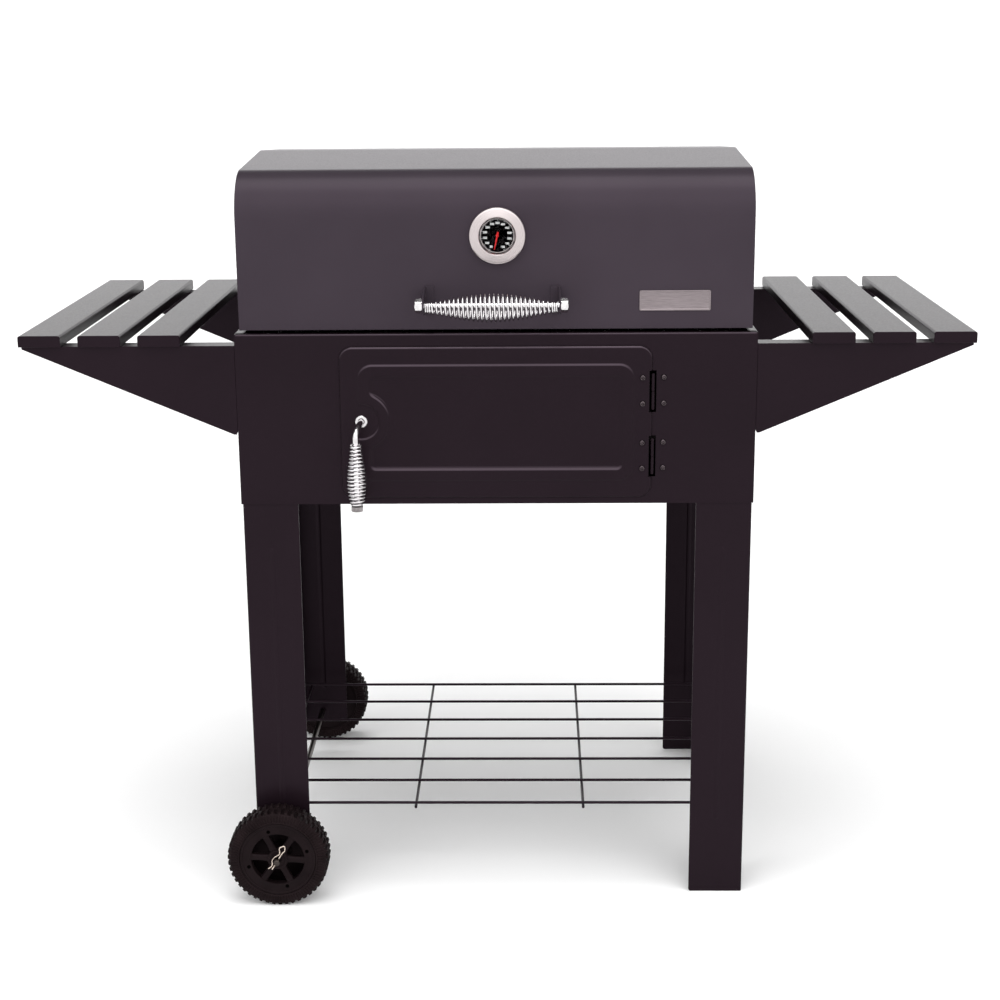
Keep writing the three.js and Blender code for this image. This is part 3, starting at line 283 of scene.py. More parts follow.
def turned_metal(name, centre):
    """Stainless steel turned about a Y axis through centre, so its marks are fine rings."""
    material, nodes, links, shader = new_material(name)
    shader.inputs["Metallic"].default_value = 1.0
    coordinate = nodes.new("ShaderNodeTexCoord")
    shift = nodes.new("ShaderNodeMapping")
    shift.inputs["Location"].default_value = (-centre.x, 0, -centre.z)
    shift.inputs["Scale"].default_value = (1, 0, 1)
    length = nodes.new("ShaderNodeVectorMath")
    length.operation = "LENGTH"
    rings = nodes.new("ShaderNodeTexNoise")
    rings.noise_dimensions = "1D"
    rings.inputs["Scale"].default_value = 2600
    rings.inputs["Detail"].default_value = 3
    links.new(coordinate.outputs["Object"], shift.inputs["Vector"])
    links.new(shift.outputs["Vector"], length.inputs[0])
    links.new(length.outputs["Value"], rings.inputs["W"])
    field = rings.outputs["Fac"]
    tone = two_tone(nodes, links, field, (0.43, 0.385, 0.385), (0.58, 0.525, 0.525))
    links.new(tone, shader.inputs["Base Color"])
    links.new(spread(nodes, links, field, 0.24, 0.36), shader.inputs["Roughness"])
    add_bump(nodes, links, shader, [(field, 0.35, 0.03 * MM)])
    return material


def plastic(name, dark, light, rough=(0.45, 0.6), grain=300, shine=0.2):
    material, nodes, links, shader = new_material(name)
    tone = noise(nodes, links, 30, 3)
    links.new(two_tone(nodes, links, tone, dark, light), shader.inputs["Base Color"])
    field = noise(nodes, links, grain, 3)
    links.new(spread(nodes, links, field, *rough), shader.inputs["Roughness"])
    add_bump(nodes, links, shader, [(field, 0.25, 0.15 * MM)])
    shader.inputs["Specular IOR Level"].default_value = shine
    shader.inputs["Specular Tint"].default_value = (1.0, 0.8, 0.84, 1)
    return material


def clear_glass(name):
    material, nodes, links, shader = new_material(name)
    shader.inputs["Base Color"].default_value = (0.97, 0.98, 0.98, 1)
    shader.inputs["Transmission Weight"].default_value = 1.0
    shader.inputs["IOR"].default_value = 1.04
    smear = noise(nodes, links, 60, 2)
    links.new(spread(nodes, links, smear, 0.0, 0.03), shader.inputs["Roughness"])
    return material


def make_materials():
    dial_low, dial_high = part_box("thermometer_case")
    return {
        "enamel": powder_coat("powder_coat", (0.0072, 0.0040, 0.0058), (0.0086, 0.0048, 0.0070)),
        # The coat with a painted highlight on the slopes that its mesh marks
        "painted_highlight_enamel": painted_highlight_coat(
            "painted_highlight_coat", (0.0072, 0.0040, 0.0058), (0.0086, 0.0048, 0.0070),
        ),
        # A lighter copy of the body's coat for the lid and handle brackets: painted light, for the light that falls
        # more on the lid than lower down
        "lid_enamel_painted_light": powder_coat("lid_coat_painted_light", (0.0320, 0.0250, 0.0320), (0.0370, 0.0290, 0.0370)),
        "chrome": metal("chrome", (0.62, 0.60, 0.61), (0.74, 0.72, 0.73), (0.07, 0.14), 140),
        "steel_screw": metal(
            "screw_steel", (0.048, 0.038, 0.042), (0.085, 0.068, 0.074), (0.14, 0.22), 260,
        ),
        "steel": metal("plain_steel", (0.18, 0.165, 0.165), (0.30, 0.28, 0.28), (0.16, 0.26), 200),
        "axle_steel": metal(
            "axle_steel", (0.035, 0.028, 0.026), (0.06, 0.05, 0.046), (0.3, 0.45), 200,
        ),
        "zinc": metal("yellow_zinc", (0.56, 0.47, 0.40), (0.74, 0.64, 0.56), (0.2, 0.32), 200),
        "brushed": metal(
            "brushed_steel", (0.17, 0.145, 0.15), (0.29, 0.25, 0.26), (0.28, 0.42), 1,
            (60, 900, 5200),
            (0.4, 0.03 * MM),
        ),
        "turned": turned_metal("turned_steel", (dial_low + dial_high) / 2),
        "tread": plastic(
            "tyre_plastic", (0.0060, 0.0036, 0.0040), (0.0105, 0.0064, 0.0070), (0.5, 0.66), 300,
            0.07,
        ),
        "hub": plastic(
            "hub_plastic", (0.0050, 0.0030, 0.0034), (0.0080, 0.0050, 0.0056), (0.36, 0.5), 300,
            0.07,
        ),
        # Near-black coat for painted shade: the hub holes and the door hinge necks in their slots
        "painted_shade_black": plastic(
            "painted_shade_black", (0.0008, 0.0006, 0.0006), (0.0014, 0.0011, 0.0011), (0.8, 0.95), 300, 0.0,
        ),
        "dial": plastic(
            "dial_black", (0.0016, 0.0015, 0.0016), (0.0030, 0.0028, 0.0030), (0.4, 0.5), 900, 0.03,
        ),
        "marks": plastic("dial_white", (0.72, 0.72, 0.72), (0.82, 0.82, 0.82), (0.4, 0.5), 900),
        "needle": plastic("needle_red", (0.55, 0.012, 0.012), (0.66, 0.02, 0.018), (0.3, 0.4), 900),
        "glass": clear_glass("gauge_glass"),
        "cast_iron": plastic(
            "cast_iron", (0.008, 0.008, 0.008), (0.018, 0.0165, 0.0155), (0.55, 0.8), 220,
        ),
    }


# ------------------------------------------------------------------ pieces
def new_object(name, mesh):
    piece = bpy.data.objects.new(name, mesh)
    bpy.context.scene.collection.objects.link(piece)
    return piece


def mesh_from(name, points, faces):
    mesh = bpy.data.meshes.new(name)
    mesh.from_pydata([tuple(p) for p in points], [], faces)
    mesh.validate()
    mesh.update()
    return mesh


def settle(piece, body, material, replaced=(), sharp=35):
    """Shades a piece, gives it its material, ties it to its body and hides the CAD nodes that it replaces."""
    mesh = piece.data
    mesh.materials.clear()
    mesh.materials.append(MATERIALS[material])
    mesh.shade_smooth()
    mesh.set_sharp_from_angle(angle=math.radians(sharp))
    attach(piece, body)
    if replaced:
        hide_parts(*replaced)
    return piece


def modifier(piece, kind, **settings):
    added = piece.modifiers.new(kind.lower(), kind)
    for key, value in settings.items():
        setattr(added, key, value)
    return added


def soften(piece, width, segments=2, angle=35):
    modifier(
        piece, "BEVEL", width=width, segments=segments, limit_method="ANGLE",
        angle_limit=math.radians(angle), miter_outer="MITER_ARC", harden_normals=False,
    )
    modifier(piece, "WEIGHTED_NORMAL", keep_sharp=True)


def finished(node, width, material, segments=2, angle=35, merge=0.02 * MM):
    """A copy of a CAD node whose flat faces are whole and whose edges are rounded."""
    source = frame["nodes"][node]
    work = bmesh.new()
    work.from_mesh(source.data)
    bmesh.ops.remove_doubles(work, verts=work.verts, dist=merge)
    bmesh.ops.dissolve_limit(
        work, angle_limit=math.radians(0.5), verts=work.verts, edges=work.edges,
    )
    mesh = bpy.data.meshes.new(node + "_finished")
    work.to_mesh(mesh)
    work.free()
    piece = new_object(node + "_finished", mesh)
    settle(piece, source["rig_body"], material, (node,), angle)
    soften(piece, width, segments, angle)
    return piece


def lathe_mesh(name, profile, segments, close_profile=False):
    """Turns a profile of (radius, height) about Z. Points on the axis become single points."""
    points, rings = [], []
    for radius, height in profile:
        if radius < 1e-7:
            rings.append([len(points)] * segments)
            points.append((0, 0, height))
            continue
        first = len(points)
        rings.append([first + i for i in range(segments)])
        for i in range(segments):
            angle = 2 * math.pi * i / segments
            points.append((radius * math.cos(angle), radius * math.sin(angle), height))
    pairs = list(zip(rings, rings[1:]))
    if close_profile:
        pairs.append((rings[-1], rings[0]))
    faces = []
    for a, b in pairs:
        for i in range(segments):
            j = (i + 1) % segments
            corners = list(dict.fromkeys((a[i], a[j], b[j], b[i])))
            if len(corners) > 2:
                faces.append(corners)
    return mesh_from(name, points, faces)


def fix_normals(mesh):
    work = bmesh.new()
    work.from_mesh(mesh)
    bmesh.ops.recalc_face_normals(work, faces=work.faces)
    work.to_mesh(mesh)
    work.free()


def place_along(mesh, origin, axis):
    """Moves a mesh made about Z so that its Z lies along axis, from origin."""
    turn = Vector(axis).to_track_quat("Z", "Y").to_matrix().to_4x4()
    mesh.transform(Matrix.Translation(origin) @ turn)


def turned(name, profile, origin, axis, segments=48, close_profile=False):
    mesh = lathe_mesh(name, profile, segments, close_profile)
    fix_normals(mesh)
    place_along(mesh, origin, axis)
    return new_object(name, mesh)


def tube_mesh(name, path, radius, sides=12):
    """A round tube along a list of points, with domed ends. radius may be one value per point."""
    path = [Vector(p) for p in path]
    radii = radius if isinstance(radius, list) else [radius] * len(path)
    tangents = []
    for i in range(len(path)):
        before, after = path[max(i - 1, 0)], path[min(i + 1, len(path) - 1)]
        tangents.append((after - before).normalized())
    side = tangents[0].orthogonal().normalized()
    points, faces = [], []
    for place, tangent, r in zip(path, tangents, radii):
        side = (side - tangent * side.dot(tangent)).normalized()
        other = tangent.cross(side)
        for i in range(sides):
            angle = 2 * math.pi * i / sides
            points.append(place + (side * math.cos(angle) + other * math.sin(angle)) * r)
    for k in range(len(path) - 1):
        for i in range(sides):
            j = (i + 1) % sides
            faces.append((k * sides + i, k * sides + j, (k + 1) * sides + j, (k + 1) * sides + i))
    for ring, end, outward in ((0, path[0], -tangents[0]), (len(path) - 1, path[-1], tangents[-1])):
        tip = len(points)
        points.append(end + outward * radii[ring] * 0.35)
        for i in range(sides):
            j = (i + 1) % sides
            faces.append((ring * sides + i, ring * sides + j, tip))
    mesh = mesh_from(name, points, faces)
    fix_normals(mesh)
    return mesh


def smooth_path(points, per_span=12):
    """Points on a centripetal curve through the given ones."""
    points = [Vector(p) for p in points]
    ends = [points[0] * 2 - points[1], *points, points[-1] * 2 - points[-2]]
    path = []
    for a, b, c, d in zip(ends, ends[1:], ends[2:], ends[3:]):
        t1 = (b - a).length ** 0.5
        t2 = t1 + (c - b).length ** 0.5
        t3 = t2 + (d - c).length ** 0.5
        for i in range(per_span):
            t = t1 + (t2 - t1) * i / per_span
            ab = a * ((t1 - t) / t1) + b * (t / t1)
            bc = b * ((t2 - t) / (t2 - t1)) + c * ((t - t1) / (t2 - t1))
            cd = c * ((t3 - t) / (t3 - t2)) + d * ((t - t2) / (t3 - t2))
            abc = ab * ((t2 - t) / t2) + bc * (t / t2)
            bcd = bc * ((t3 - t) / (t3 - t1)) + cd * ((t - t1) / (t3 - t1))
            path.append(abc * ((t2 - t) / (t2 - t1)) + bcd * ((t - t1) / (t2 - t1)))
    path.append(points[-1])
    return path


# ------------------------------------------------------------------ sheet-metal forms
def round_box_distance(x, z, centre, half, radius):
    """Signed distance from a point to a rounded rectangle, below zero inside."""
    dx = abs(x - centre[0]) - half[0] + radius
    dz = abs(z - centre[1]) - half[1] + radius
    outside = math.hypot(max(dx, 0), max(dz, 0))
    return outside + min(max(dx, dz), 0) - radius


def step_down(distance, width):
    """1 where distance is well below zero, 0 well above, and an S-shaped slope between."""
    t = min(max(0.5 - distance / width, 0), 1)
    return t * t * (3 - 2 * t)


def soft_min(a, b, k):
    h = max(k - abs(a - b), 0) / k
    return min(a, b) - h * h * k / 4


def rounded_outline(centre, half, radius, counts, marks=()):
    """Points round a rounded rectangle, anticlockwise from the right side's lower end.

    counts gives the steps on the level sides, on the upright sides and on a corner. marks are
    heights that the right side has points at."""
    nx, nz, nc = counts
    cx, cz = centre
    hx, hz = half
    low, high = cz - hz + radius, cz + hz - radius
    heights = [low + (high - low) * i / nz for i in range(nz)]
    for mark in marks:
        nearest = min(range(1, nz), key=lambda i: abs(heights[i] - mark))
        heights[nearest] = mark
    points = [(cx + hx, z) for z in heights]
    corners = [
        ((cx + hx - radius, high), 0),
        ((cx - hx + radius, high), 90),
        ((cx - hx + radius, low), 180),
        ((cx + hx - radius, low), 270),
    ]
    for k, ((x, z), start) in enumerate(corners):
        for i in range(nc):
            angle = math.radians(start + 90 * i / nc)
            points.append((x + radius * math.cos(angle), z + radius * math.sin(angle)))
        if k == 0:
            points += [(cx + hx - radius - 2 * (hx - radius) * i / nx, cz + hz) for i in range(nx)]
        if k == 1:
            points += [(cx - hx, high - (high - low) * i / nz) for i in range(nz)]
        if k == 2:
            points += [(cx - hx + radius + 2 * (hx - radius) * i / nx, cz - hz) for i in range(nx)]
    return points


# ------------------------------------------------------------------ lid
LID_BEND = 68 * MM
LID_SLOPE = math.radians(3.4)


def lid_outline(inset, steps=40):
    """(y, z) points of the lid's section from its front edge over the top to its back edge."""
    middle = (LID_LOW.y + LID_HIGH.y) / 2
    run = middle - LID_LOW.y - LID_BEND
    ridge = LID_HIGH.z - inset / math.cos(LID_SLOPE)
    centre_y = LID_LOW.y + LID_BEND
    centre_z = LID_HIGH.z - (run * math.sin(LID_SLOPE) + LID_BEND) / math.cos(LID_SLOPE)
    front = [(LID_LOW.y + inset, LID_LOW.z)]
    for i in range(steps + 1):
        angle = math.pi - (math.pi / 2 - LID_SLOPE) * i / steps
        r = LID_BEND - inset
        front.append((centre_y + r * math.cos(angle), centre_z + r * math.sin(angle)))
    back = [(2 * middle - y, z) for y, z in reversed(front)]
    ridge_half = 9 * MM
    fall = ridge_half * math.tan(LID_SLOPE)
    crown = [
        (middle - ridge_half, ridge - fall), (middle, ridge - fall * 0.5), (
            middle + ridge_half, ridge - fall,
        ),
    ]
    return front + crown + back


def make_lid():
    outer, inner = lid_outline(0), lid_outline(SHEET)
    section = outer + inner[::-1]
    n = len(section)
    columns = [LID_LOW.x, LID_HIGH.x]
    points = [(x, y, z) for x in columns for y, z in section]
    faces = [(i, (i + 1) % n, n + (i + 1) % n, n + i) for i in range(n)]
    m = len(outer)
    for start in (0, n):
        for i in range(m - 1):
            faces.append((start + i, start + i + 1, start + n - 2 - i, start + n - 1 - i))
    mesh = mesh_from("lid_shell_bent", points, faces)
    fix_normals(mesh)
    shell = new_object("lid_shell_bent", mesh)
    # Shell and end plates take the lid's lighter copy of the coat: painted light on the lid
    settle(shell, "lid", "lid_enamel_painted_light", ("lid_shell",), 40)
    soften(shell, 0.5 * MM, 2, 50)
    for side in ("left", "right"):
        low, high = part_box("lid_end_" + side)
        outline = lid_outline(SHEET + 0.15 * MM)
        k = len(outline)
        points = [(x, y, z) for x in (low.x, high.x) for y, z in outline]
        faces = [tuple(range(k)), tuple(range(k, 2 * k))]
        faces += [(i, (i + 1) % k, k + (i + 1) % k, k + i) for i in range(k)]
        mesh = mesh_from(f"lid_end_{side}_plate", points, faces)
        fix_normals(mesh)
        plate = new_object(f"lid_end_{side}_plate", mesh)
        settle(plate, "lid", "lid_enamel_painted_light", ("lid_end_" + side,), 40)
        soften(plate, 0.4 * MM, 2, 50)


# ------------------------------------------------------------------ ash door
DOOR_RADIUS = 20 * MM
DOOR_RIM = 3.8 * MM
RIDGE_INSET, RIDGE_WIDTH, RIDGE_RADIUS = 27.5 * MM, 17 * MM, 22 * MM
RIDGE_HEIGHT = 1.9 * MM
PANEL_RADIUS = 8 * MM
BOSS_RADIUS, BOSS_SEAT_RADIUS = 42 * MM, 27 * MM
PRESS_SLOPE = 3.4 * MM
HINGE_SLOT_DEPTH = 5 * MM
HINGE_SLOT_END = 1 * MM


def make_door():
    low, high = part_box("door_panel")
    washer_low, washer_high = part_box("latch_washer")
    latch = (washer_low + washer_high) / 2
    centre = ((low.x + high.x) / 2, (low.z + high.z) / 2)
    half = ((high.x - low.x) / 2, (high.z - low.z) / 2)
    face = low.y + 2 * MM
    slots = []
    for name in ("lower", "upper"):
        bottom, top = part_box("door_hinge_fixed_" + name)
        slots.append((bottom.z - HINGE_SLOT_END, top.z + HINGE_SLOT_END))

    def height(x, z):
        ridge_half = (half[0] - RIDGE_INSET, half[1] - RIDGE_INSET)
        panel_half = (ridge_half[0] - RIDGE_WIDTH, ridge_half[1] - RIDGE_WIDTH)
        ridge = round_box_distance(x, z, centre, ridge_half, RIDGE_RADIUS)
        panel = round_box_distance(x, z, centre, panel_half, PANEL_RADIUS)
        away = math.hypot(x - latch.x, z - latch.z)
        raised = soft_min(max(ridge, -panel), away - BOSS_RADIUS, 8 * MM)
        raised = max(raised, ridge, BOSS_SEAT_RADIUS - away)
        sunk = max(panel, BOSS_RADIUS - away) + PRESS_SLOPE
        return RIDGE_HEIGHT * step_down(raised, PRESS_SLOPE) - 0.9 * MM * step_down(sunk, PRESS_SLOPE)

    def corner_radius(inset):
        if inset < 8 * MM:
            return DOOR_RADIUS - inset
        if inset < RIDGE_INSET:
            share = (inset - 8 * MM) / (RIDGE_INSET - 8 * MM)
            return 12 * MM + (RIDGE_RADIUS - 12 * MM) * share
        if inset < RIDGE_INSET + RIDGE_WIDTH:
            share = (inset - RIDGE_INSET) / RIDGE_WIDTH
            return RIDGE_RADIUS + (PANEL_RADIUS - RIDGE_RADIUS) * share
        return PANEL_RADIUS

    counts = (250, 124, 14)
    bend = 5
    rows = [(0, high.y)]
    for i in range(bend + 1):
        angle = math.pi / 2 * i / bend
        rows.append((DOOR_RIM * (1 - math.cos(angle)), face + DOOR_RIM * (1 - math.sin(angle))))
    insets = [HINGE_SLOT_DEPTH]
    while insets[-1] < 80 * MM:
        insets.append(insets[-1] + 1.5 * MM)
    insets += [88 * MM, 98 * MM]
    rows += [(inset, None) for inset in insets]
    points, faces = [], []
    marks = [z for slot in slots for z in slot]
    for inset, depth in rows:
        loop_half = (half[0] - inset, half[1] - inset)
        use = marks if inset < 8 * MM else ()
        for x, z in rounded_outline(centre, loop_half, corner_radius(inset), counts, use):
            y = depth if depth is not None else face - height(x, z)
            points.append((x, y, z))
    n = len(points) // len(rows)
    slot_x = high.x - HINGE_SLOT_DEPTH - 0.1 * MM
    for k in range(len(rows) - 1):
        for i in range(n):
            corners = (k * n + i, k * n + (i + 1) % n, (k + 1) * n + (i + 1) % n, (k + 1) * n + i)
            middle = sum((Vector(points[c]) for c in corners), Vector()) / 4
            if middle.x > slot_x and any(a < middle.z < b for a, b in slots):
                continue
            faces.append(corners)
    faces.append(tuple(range((len(rows) - 1) * n, len(rows) * n)))
    mesh = mesh_from("ash_door_pressed", points, faces)
    work = bmesh.new()
    work.from_mesh(mesh)
    bmesh.ops.delete(work, geom=[v for v in work.verts if not v.link_faces], context="VERTS")
    bmesh.ops.recalc_face_normals(work, faces=work.faces)
    if sum(f.normal.y * f.calc_area() for f in work.faces) > 0:
        bmesh.ops.reverse_faces(work, faces=work.faces)
    work.to_mesh(mesh)
    work.free()
    door = new_object("ash_door_pressed", mesh)
    # Painted highlight: the door's upward slopes and rim bead get a stronger specular level
    mark_painted_highlight(door.data)
    settle(door, "door", "painted_highlight_enamel", ("door_panel",), 40)
    modifier(door, "SOLIDIFY", thickness=1.1 * MM, offset=-1)


# ------------------------------------------------------------------ legs
LEG_BEND = 3 * MM
FOOT_RADIUS = 4 * MM
RIB_WIDTH, RIB_HEIGHT = 9.5 * MM, 1.2 * MM
RIB_BOTTOM, RIB_TOP = 0.124, 0.573


def make_leg(end, side_name):
    node = f"leg_{end}_{side_name}"
    low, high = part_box(node)
    side = -1 if side_name == "left" else 1
    inward = 1 if end == "front" else -1
    corner_x = low.x if side < 0 else high.x
    face_y = low.y + RIB_HEIGHT if end == "front" else high.y - RIB_HEIGHT
    width = high.x - low.x
    straight = width - LEG_BEND
    rib_middle = width / 2
    # Distances along the section, from the free edge of the front flange to that of the side flange
    marks = [0, 1 * MM, 2 * MM, 3 * MM, 4 * MM]
    marks += [rib_middle + RIB_WIDTH * (i / 12 - 0.75) for i in range(19)]
    arc = LEG_BEND * math.pi / 2
    marks += [15 * MM, 25 * MM, 60 * MM, 70 * MM]
    flat = sorted(m for m in marks if m < straight)
    across = flat + [straight + arc * i / 6 for i in range(7)]
    across += [
        2 * straight + arc - m for m in (
            70 * MM, 40 * MM, 20 * MM, 4 * MM, 3 * MM, 2 * MM, 1 * MM, 0,
        )
    ]
    rib_low, rib_high = RIB_BOTTOM, RIB_TOP
    zs = {low.z + FOOT_RADIUS * 1.2, high.z, high.z - 5 * MM}
    for tip in (rib_low, rib_high):
        zs |= {tip + i * 0.8 * MM for i in range(-8, 9)}
    zs |= {rib_low + 20 * MM, rib_high - 20 * MM, (rib_low + rib_high) / 2}
    zs |= {low.z + 25 * MM, high.z - 60 * MM}
    zs = sorted(z for z in zs if z > low.z + FOOT_RADIUS)

    def foot(s):
        edge = min(s, 2 * straight + arc - s)
        if edge >= FOOT_RADIUS:
            return low.z
        return low.z + FOOT_RADIUS - math.sqrt(FOOT_RADIUS**2 - (FOOT_RADIUS - edge) ** 2)

    def surface(s, z):
        if s <= straight:
            along, down, nx, ny = width - s, 0, 0, 1
        elif s < straight + arc:
            angle = (s - straight) / LEG_BEND
            along, down = LEG_BEND * (1 - math.sin(angle)), LEG_BEND * (1 - math.cos(angle))
            nx, ny = math.sin(angle), math.cos(angle)
        else:
            along, down, nx, ny = 0, s - straight - arc + LEG_BEND, 1, 0
        inside = rib_high - RIB_WIDTH / 2, rib_low + RIB_WIDTH / 2
        z_near = min(max(z, inside[1]), inside[0])
        reach = math.hypot(s - rib_middle, z - z_near) - RIB_WIDTH / 2
        lift = RIB_HEIGHT * step_down(reach + 1.5 * MM, 4.5 * MM)
        x = corner_x - side * along + side * nx * lift
        y = face_y + inward * down - inward * ny * lift
        return x, y, z

    points, faces = [], []
    for s in across:
        start = foot(s)
        column = [start, start + 1 * MM] + zs
        points += [surface(s, z) for z in column]
    n = len(zs) + 2
    for k in range(len(across) - 1):
        for i in range(n - 1):
            faces.append((k * n + i, k * n + i + 1, (k + 1) * n + i + 1, (k + 1) * n + i))
    mesh = mesh_from(node + "_pressed", points, faces)
    work = bmesh.new()
    work.from_mesh(mesh)
    bmesh.ops.recalc_face_normals(work, faces=work.faces)
    if sum(f.normal.y * f.calc_area() for f in work.faces) * inward > 0:
        bmesh.ops.reverse_faces(work, faces=work.faces)
    work.to_mesh(mesh)
    work.free()
    leg = new_object(node + "_pressed", mesh)
    settle(leg, "frame", "enamel", (node,), 40)
    modifier(leg, "SOLIDIFY", thickness=SHEET, offset=-1)
    soften(leg, 0.4 * MM, 2, 60)


# ------------------------------------------------------------------ coils and rods
def coil_path(
    start, direction, length, end_radius, radius, wire, turns, shape, tight=3, tight_pitch=1.15,
):
    """A barrel-shaped spring along direction. The last turns at each end lie close together.

    shape is (skew, fullness): skew moves the widest turn towards the start."""
    axis = Vector(direction).normalized()
    side = axis.orthogonal().normalized()
    if abs(axis.z) < 0.5:
        side = Z_AXIS.copy()
    other = axis.cross(side)
    tight_length = tight * 2 * wire * tight_pitch
    open_turns = turns - 2 * tight
    path = []
    steps = int(turns * 26)
    for i in range(steps + 1):
        turn = turns * i / steps
        if turn < tight:
            along = tight_length * turn / tight
        elif turn > turns - tight:
            along = length - tight_length * (turns - turn) / tight
        else:
            along = tight_length + (length - 2 * tight_length) * (turn - tight) / open_turns
        share = 1 - min(max(1 - along / length, 0), 1) ** shape[0]
        swell = max(math.sin(math.pi * share), 0) ** shape[1]
        r = end_radius + (radius - end_radius) * swell - wire
        along_clear = wire + (length - 2 * wire) * along / length
        angle = 2 * math.pi * turn
        path.append(
            start + axis * along_clear + (side * math.cos(angle) + other * math.sin(angle)) * r,
        )
    return path


def chamfered_rod(name, a, b, radius, chamfer=0.8 * MM, segments=32):
    length = (b - a).length
    profile = [
        (0, 0), (radius - chamfer, 0), (radius, chamfer),
        (radius, length - chamfer), (radius - chamfer, length), (0, length),
    ]
    return turned(name, profile, a, b - a, segments)


def hexagon_nut(name, origin, axis, across, thickness):
    """A nut with a rounded crown at its far end, its corners cut back to a cone."""
    corner = across / math.sqrt(3)
    work = bmesh.new()
    rings = []
    levels = [
        (0, 0.93), (0.08, 1.0), (0.80, 1.0), (0.94, 0.93), (1.0, 0.84),
    ]
    for share, scale in levels:
        ring = []
        for i in range(48):
            angle = 2 * math.pi * i / 48
            fold = (angle + math.pi / 6) % (math.pi / 3) - math.pi / 6
            flat = across / 2 / math.cos(fold)
            r = min(flat, corner * scale)
            ring.append(
                work.verts.new((r * math.cos(angle), r * math.sin(angle), thickness * share)),
            )
        rings.append(ring)
    for a, b in zip(rings, rings[1:]):
        for i in range(48):
            j = (i + 1) % 48
            work.faces.new((a[i], a[j], b[j], b[i]))
    work.faces.new(rings[0][::-1])
    work.faces.new(rings[-1])
    mesh = bpy.data.meshes.new(name)
    bmesh.ops.recalc_face_normals(work, faces=work.faces)
    work.to_mesh(mesh)
    work.free()
    place_along(mesh, origin, axis)
    return new_object(name, mesh)


def make_handle():
    coil_low, coil_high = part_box("handle_coil")
    rod_low, rod_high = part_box("handle_rod")
    centre = (rod_low + rod_high) / 2
    radius = (rod_high.z - rod_low.z) / 2
    rod = chamfered_rod(
        "handle_rod_turned", Vector((rod_low.x, centre.y, centre.z)), Vector(
            (rod_high.x, centre.y, centre.z),
        ), radius,
    )
    settle(rod, "lid", "chrome", ("handle_rod",))
    middle = (coil_low + coil_high) / 2
    start = Vector((coil_low.x, middle.y, middle.z))
    wire = 1.35 * MM
    barrel = (coil_high.z - coil_low.z) / 2
    path = coil_path(start, X_AXIS, coil_high.x - coil_low.x, 8 * MM, barrel, wire, 33, (1, 1.2))
    coil = new_object("handle_coil_wound", tube_mesh("handle_coil_wound", path, wire, 10))
    settle(coil, "lid", "chrome", ("handle_coil",), 60)
    for name, outward in (("left", -1), ("right", 1)):
        low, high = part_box("handle_nut_" + name)
        inner = low.x if outward > 0 else high.x
        nut = hexagon_nut(
            f"handle_nut_{name}_turned", Vector((inner, centre.y, centre.z)), X_AXIS * outward,
            (high.y - low.y), high.x - low.x,
        )
        settle(nut, "lid", "chrome", ("handle_nut_" + name,), 25)
        # The brackets take the lid's lighter copy of the coat: painted light that evens their shade against the lid
        finished("handle_bracket_" + name, 0.6 * MM, "lid_enamel_painted_light", 3)


def make_latch():
    washer_low, washer_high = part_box("latch_washer")
    pivot = (washer_low + washer_high) / 2
    coil_low, coil_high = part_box("latch_coil")
    rod_low, rod_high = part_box("latch_rod")
    grip = (coil_low + coil_high) / 2
    radius = 4.4 * MM
    hook_y = rod_high.y - radius
    shift = grip.x - pivot.x
    front = pivot.y
    path = smooth_path([
        (pivot.x, hook_y, rod_low.z + 91.6 * MM),
        (pivot.x, hook_y, pivot.z - 8 * MM),
        (pivot.x, hook_y - 2.5 * MM, pivot.z - 2 * MM),
        (pivot.x, hook_y - 8 * MM, pivot.z),
        (pivot.x, front, pivot.z),
        (pivot.x + shift * 0.1, front - 8 * MM, pivot.z - 0.3 * MM),
        (pivot.x + shift * 0.55, grip.y + 14 * MM, pivot.z - 3.5 * MM),
        (pivot.x + shift * 0.85, grip.y + 4 * MM, pivot.z - 8.5 * MM),
        (grip.x, grip.y + 0.5 * MM, pivot.z - 14 * MM),
        (grip.x, grip.y, coil_high.z + 2 * MM),
        (grip.x, grip.y, (coil_high.z + rod_low.z) / 2),
        (grip.x, grip.y, rod_low.z + 1.5 * MM),
    ])
    rod = new_object("latch_rod_bent", tube_mesh("latch_rod_bent", path, radius, 20))
    settle(rod, "latch", "chrome", ("latch_rod",), 60)
    wire = 1.25 * MM
    start = Vector((grip.x, grip.y, coil_low.z))
    barrel = (coil_high.x - coil_low.x) / 2 + 1.6 * MM
    winding = coil_path(
        start, Z_AXIS, coil_high.z - coil_low.z, LATCH_COIL_END_RADIUS, barrel, wire,
        LATCH_COIL_TURNS, (1.3, 1.1), 1, 1.3,
    )
    coil = new_object("latch_coil_wound", tube_mesh("latch_coil_wound", winding, wire, 10))
    settle(coil, "latch", "chrome", ("latch_coil",), 60)
    nut_low, nut_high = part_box("latch_nut")
    nut = hexagon_nut(
        "latch_nut_turned", Vector((grip.x, grip.y, nut_high.z)), -Z_AXIS,
        min(nut_high.x - nut_low.x, nut_high.y - nut_low.y), nut_high.z - nut_low.z,
    )
    settle(nut, "latch", "steel", ("latch_nut",), 25)
    outer = (washer_high.x - washer_low.x) / 2
    thick = washer_high.y - washer_low.y
    hole = radius + 0.5 * MM
    edge = 0.4 * MM
    profile = [
        (hole, 0), (outer - edge, 0), (outer, edge), (outer, thick - edge), (outer - edge, thick),
        (hole + edge, thick), (hole, thick - edge),
    ]
    washer = turned(
        "latch_washer_turned", profile, Vector((pivot.x, washer_high.y, pivot.z)), -Y_AXIS, 48,
        True,
    )
    settle(washer, "latch", "chrome", ("latch_washer",))


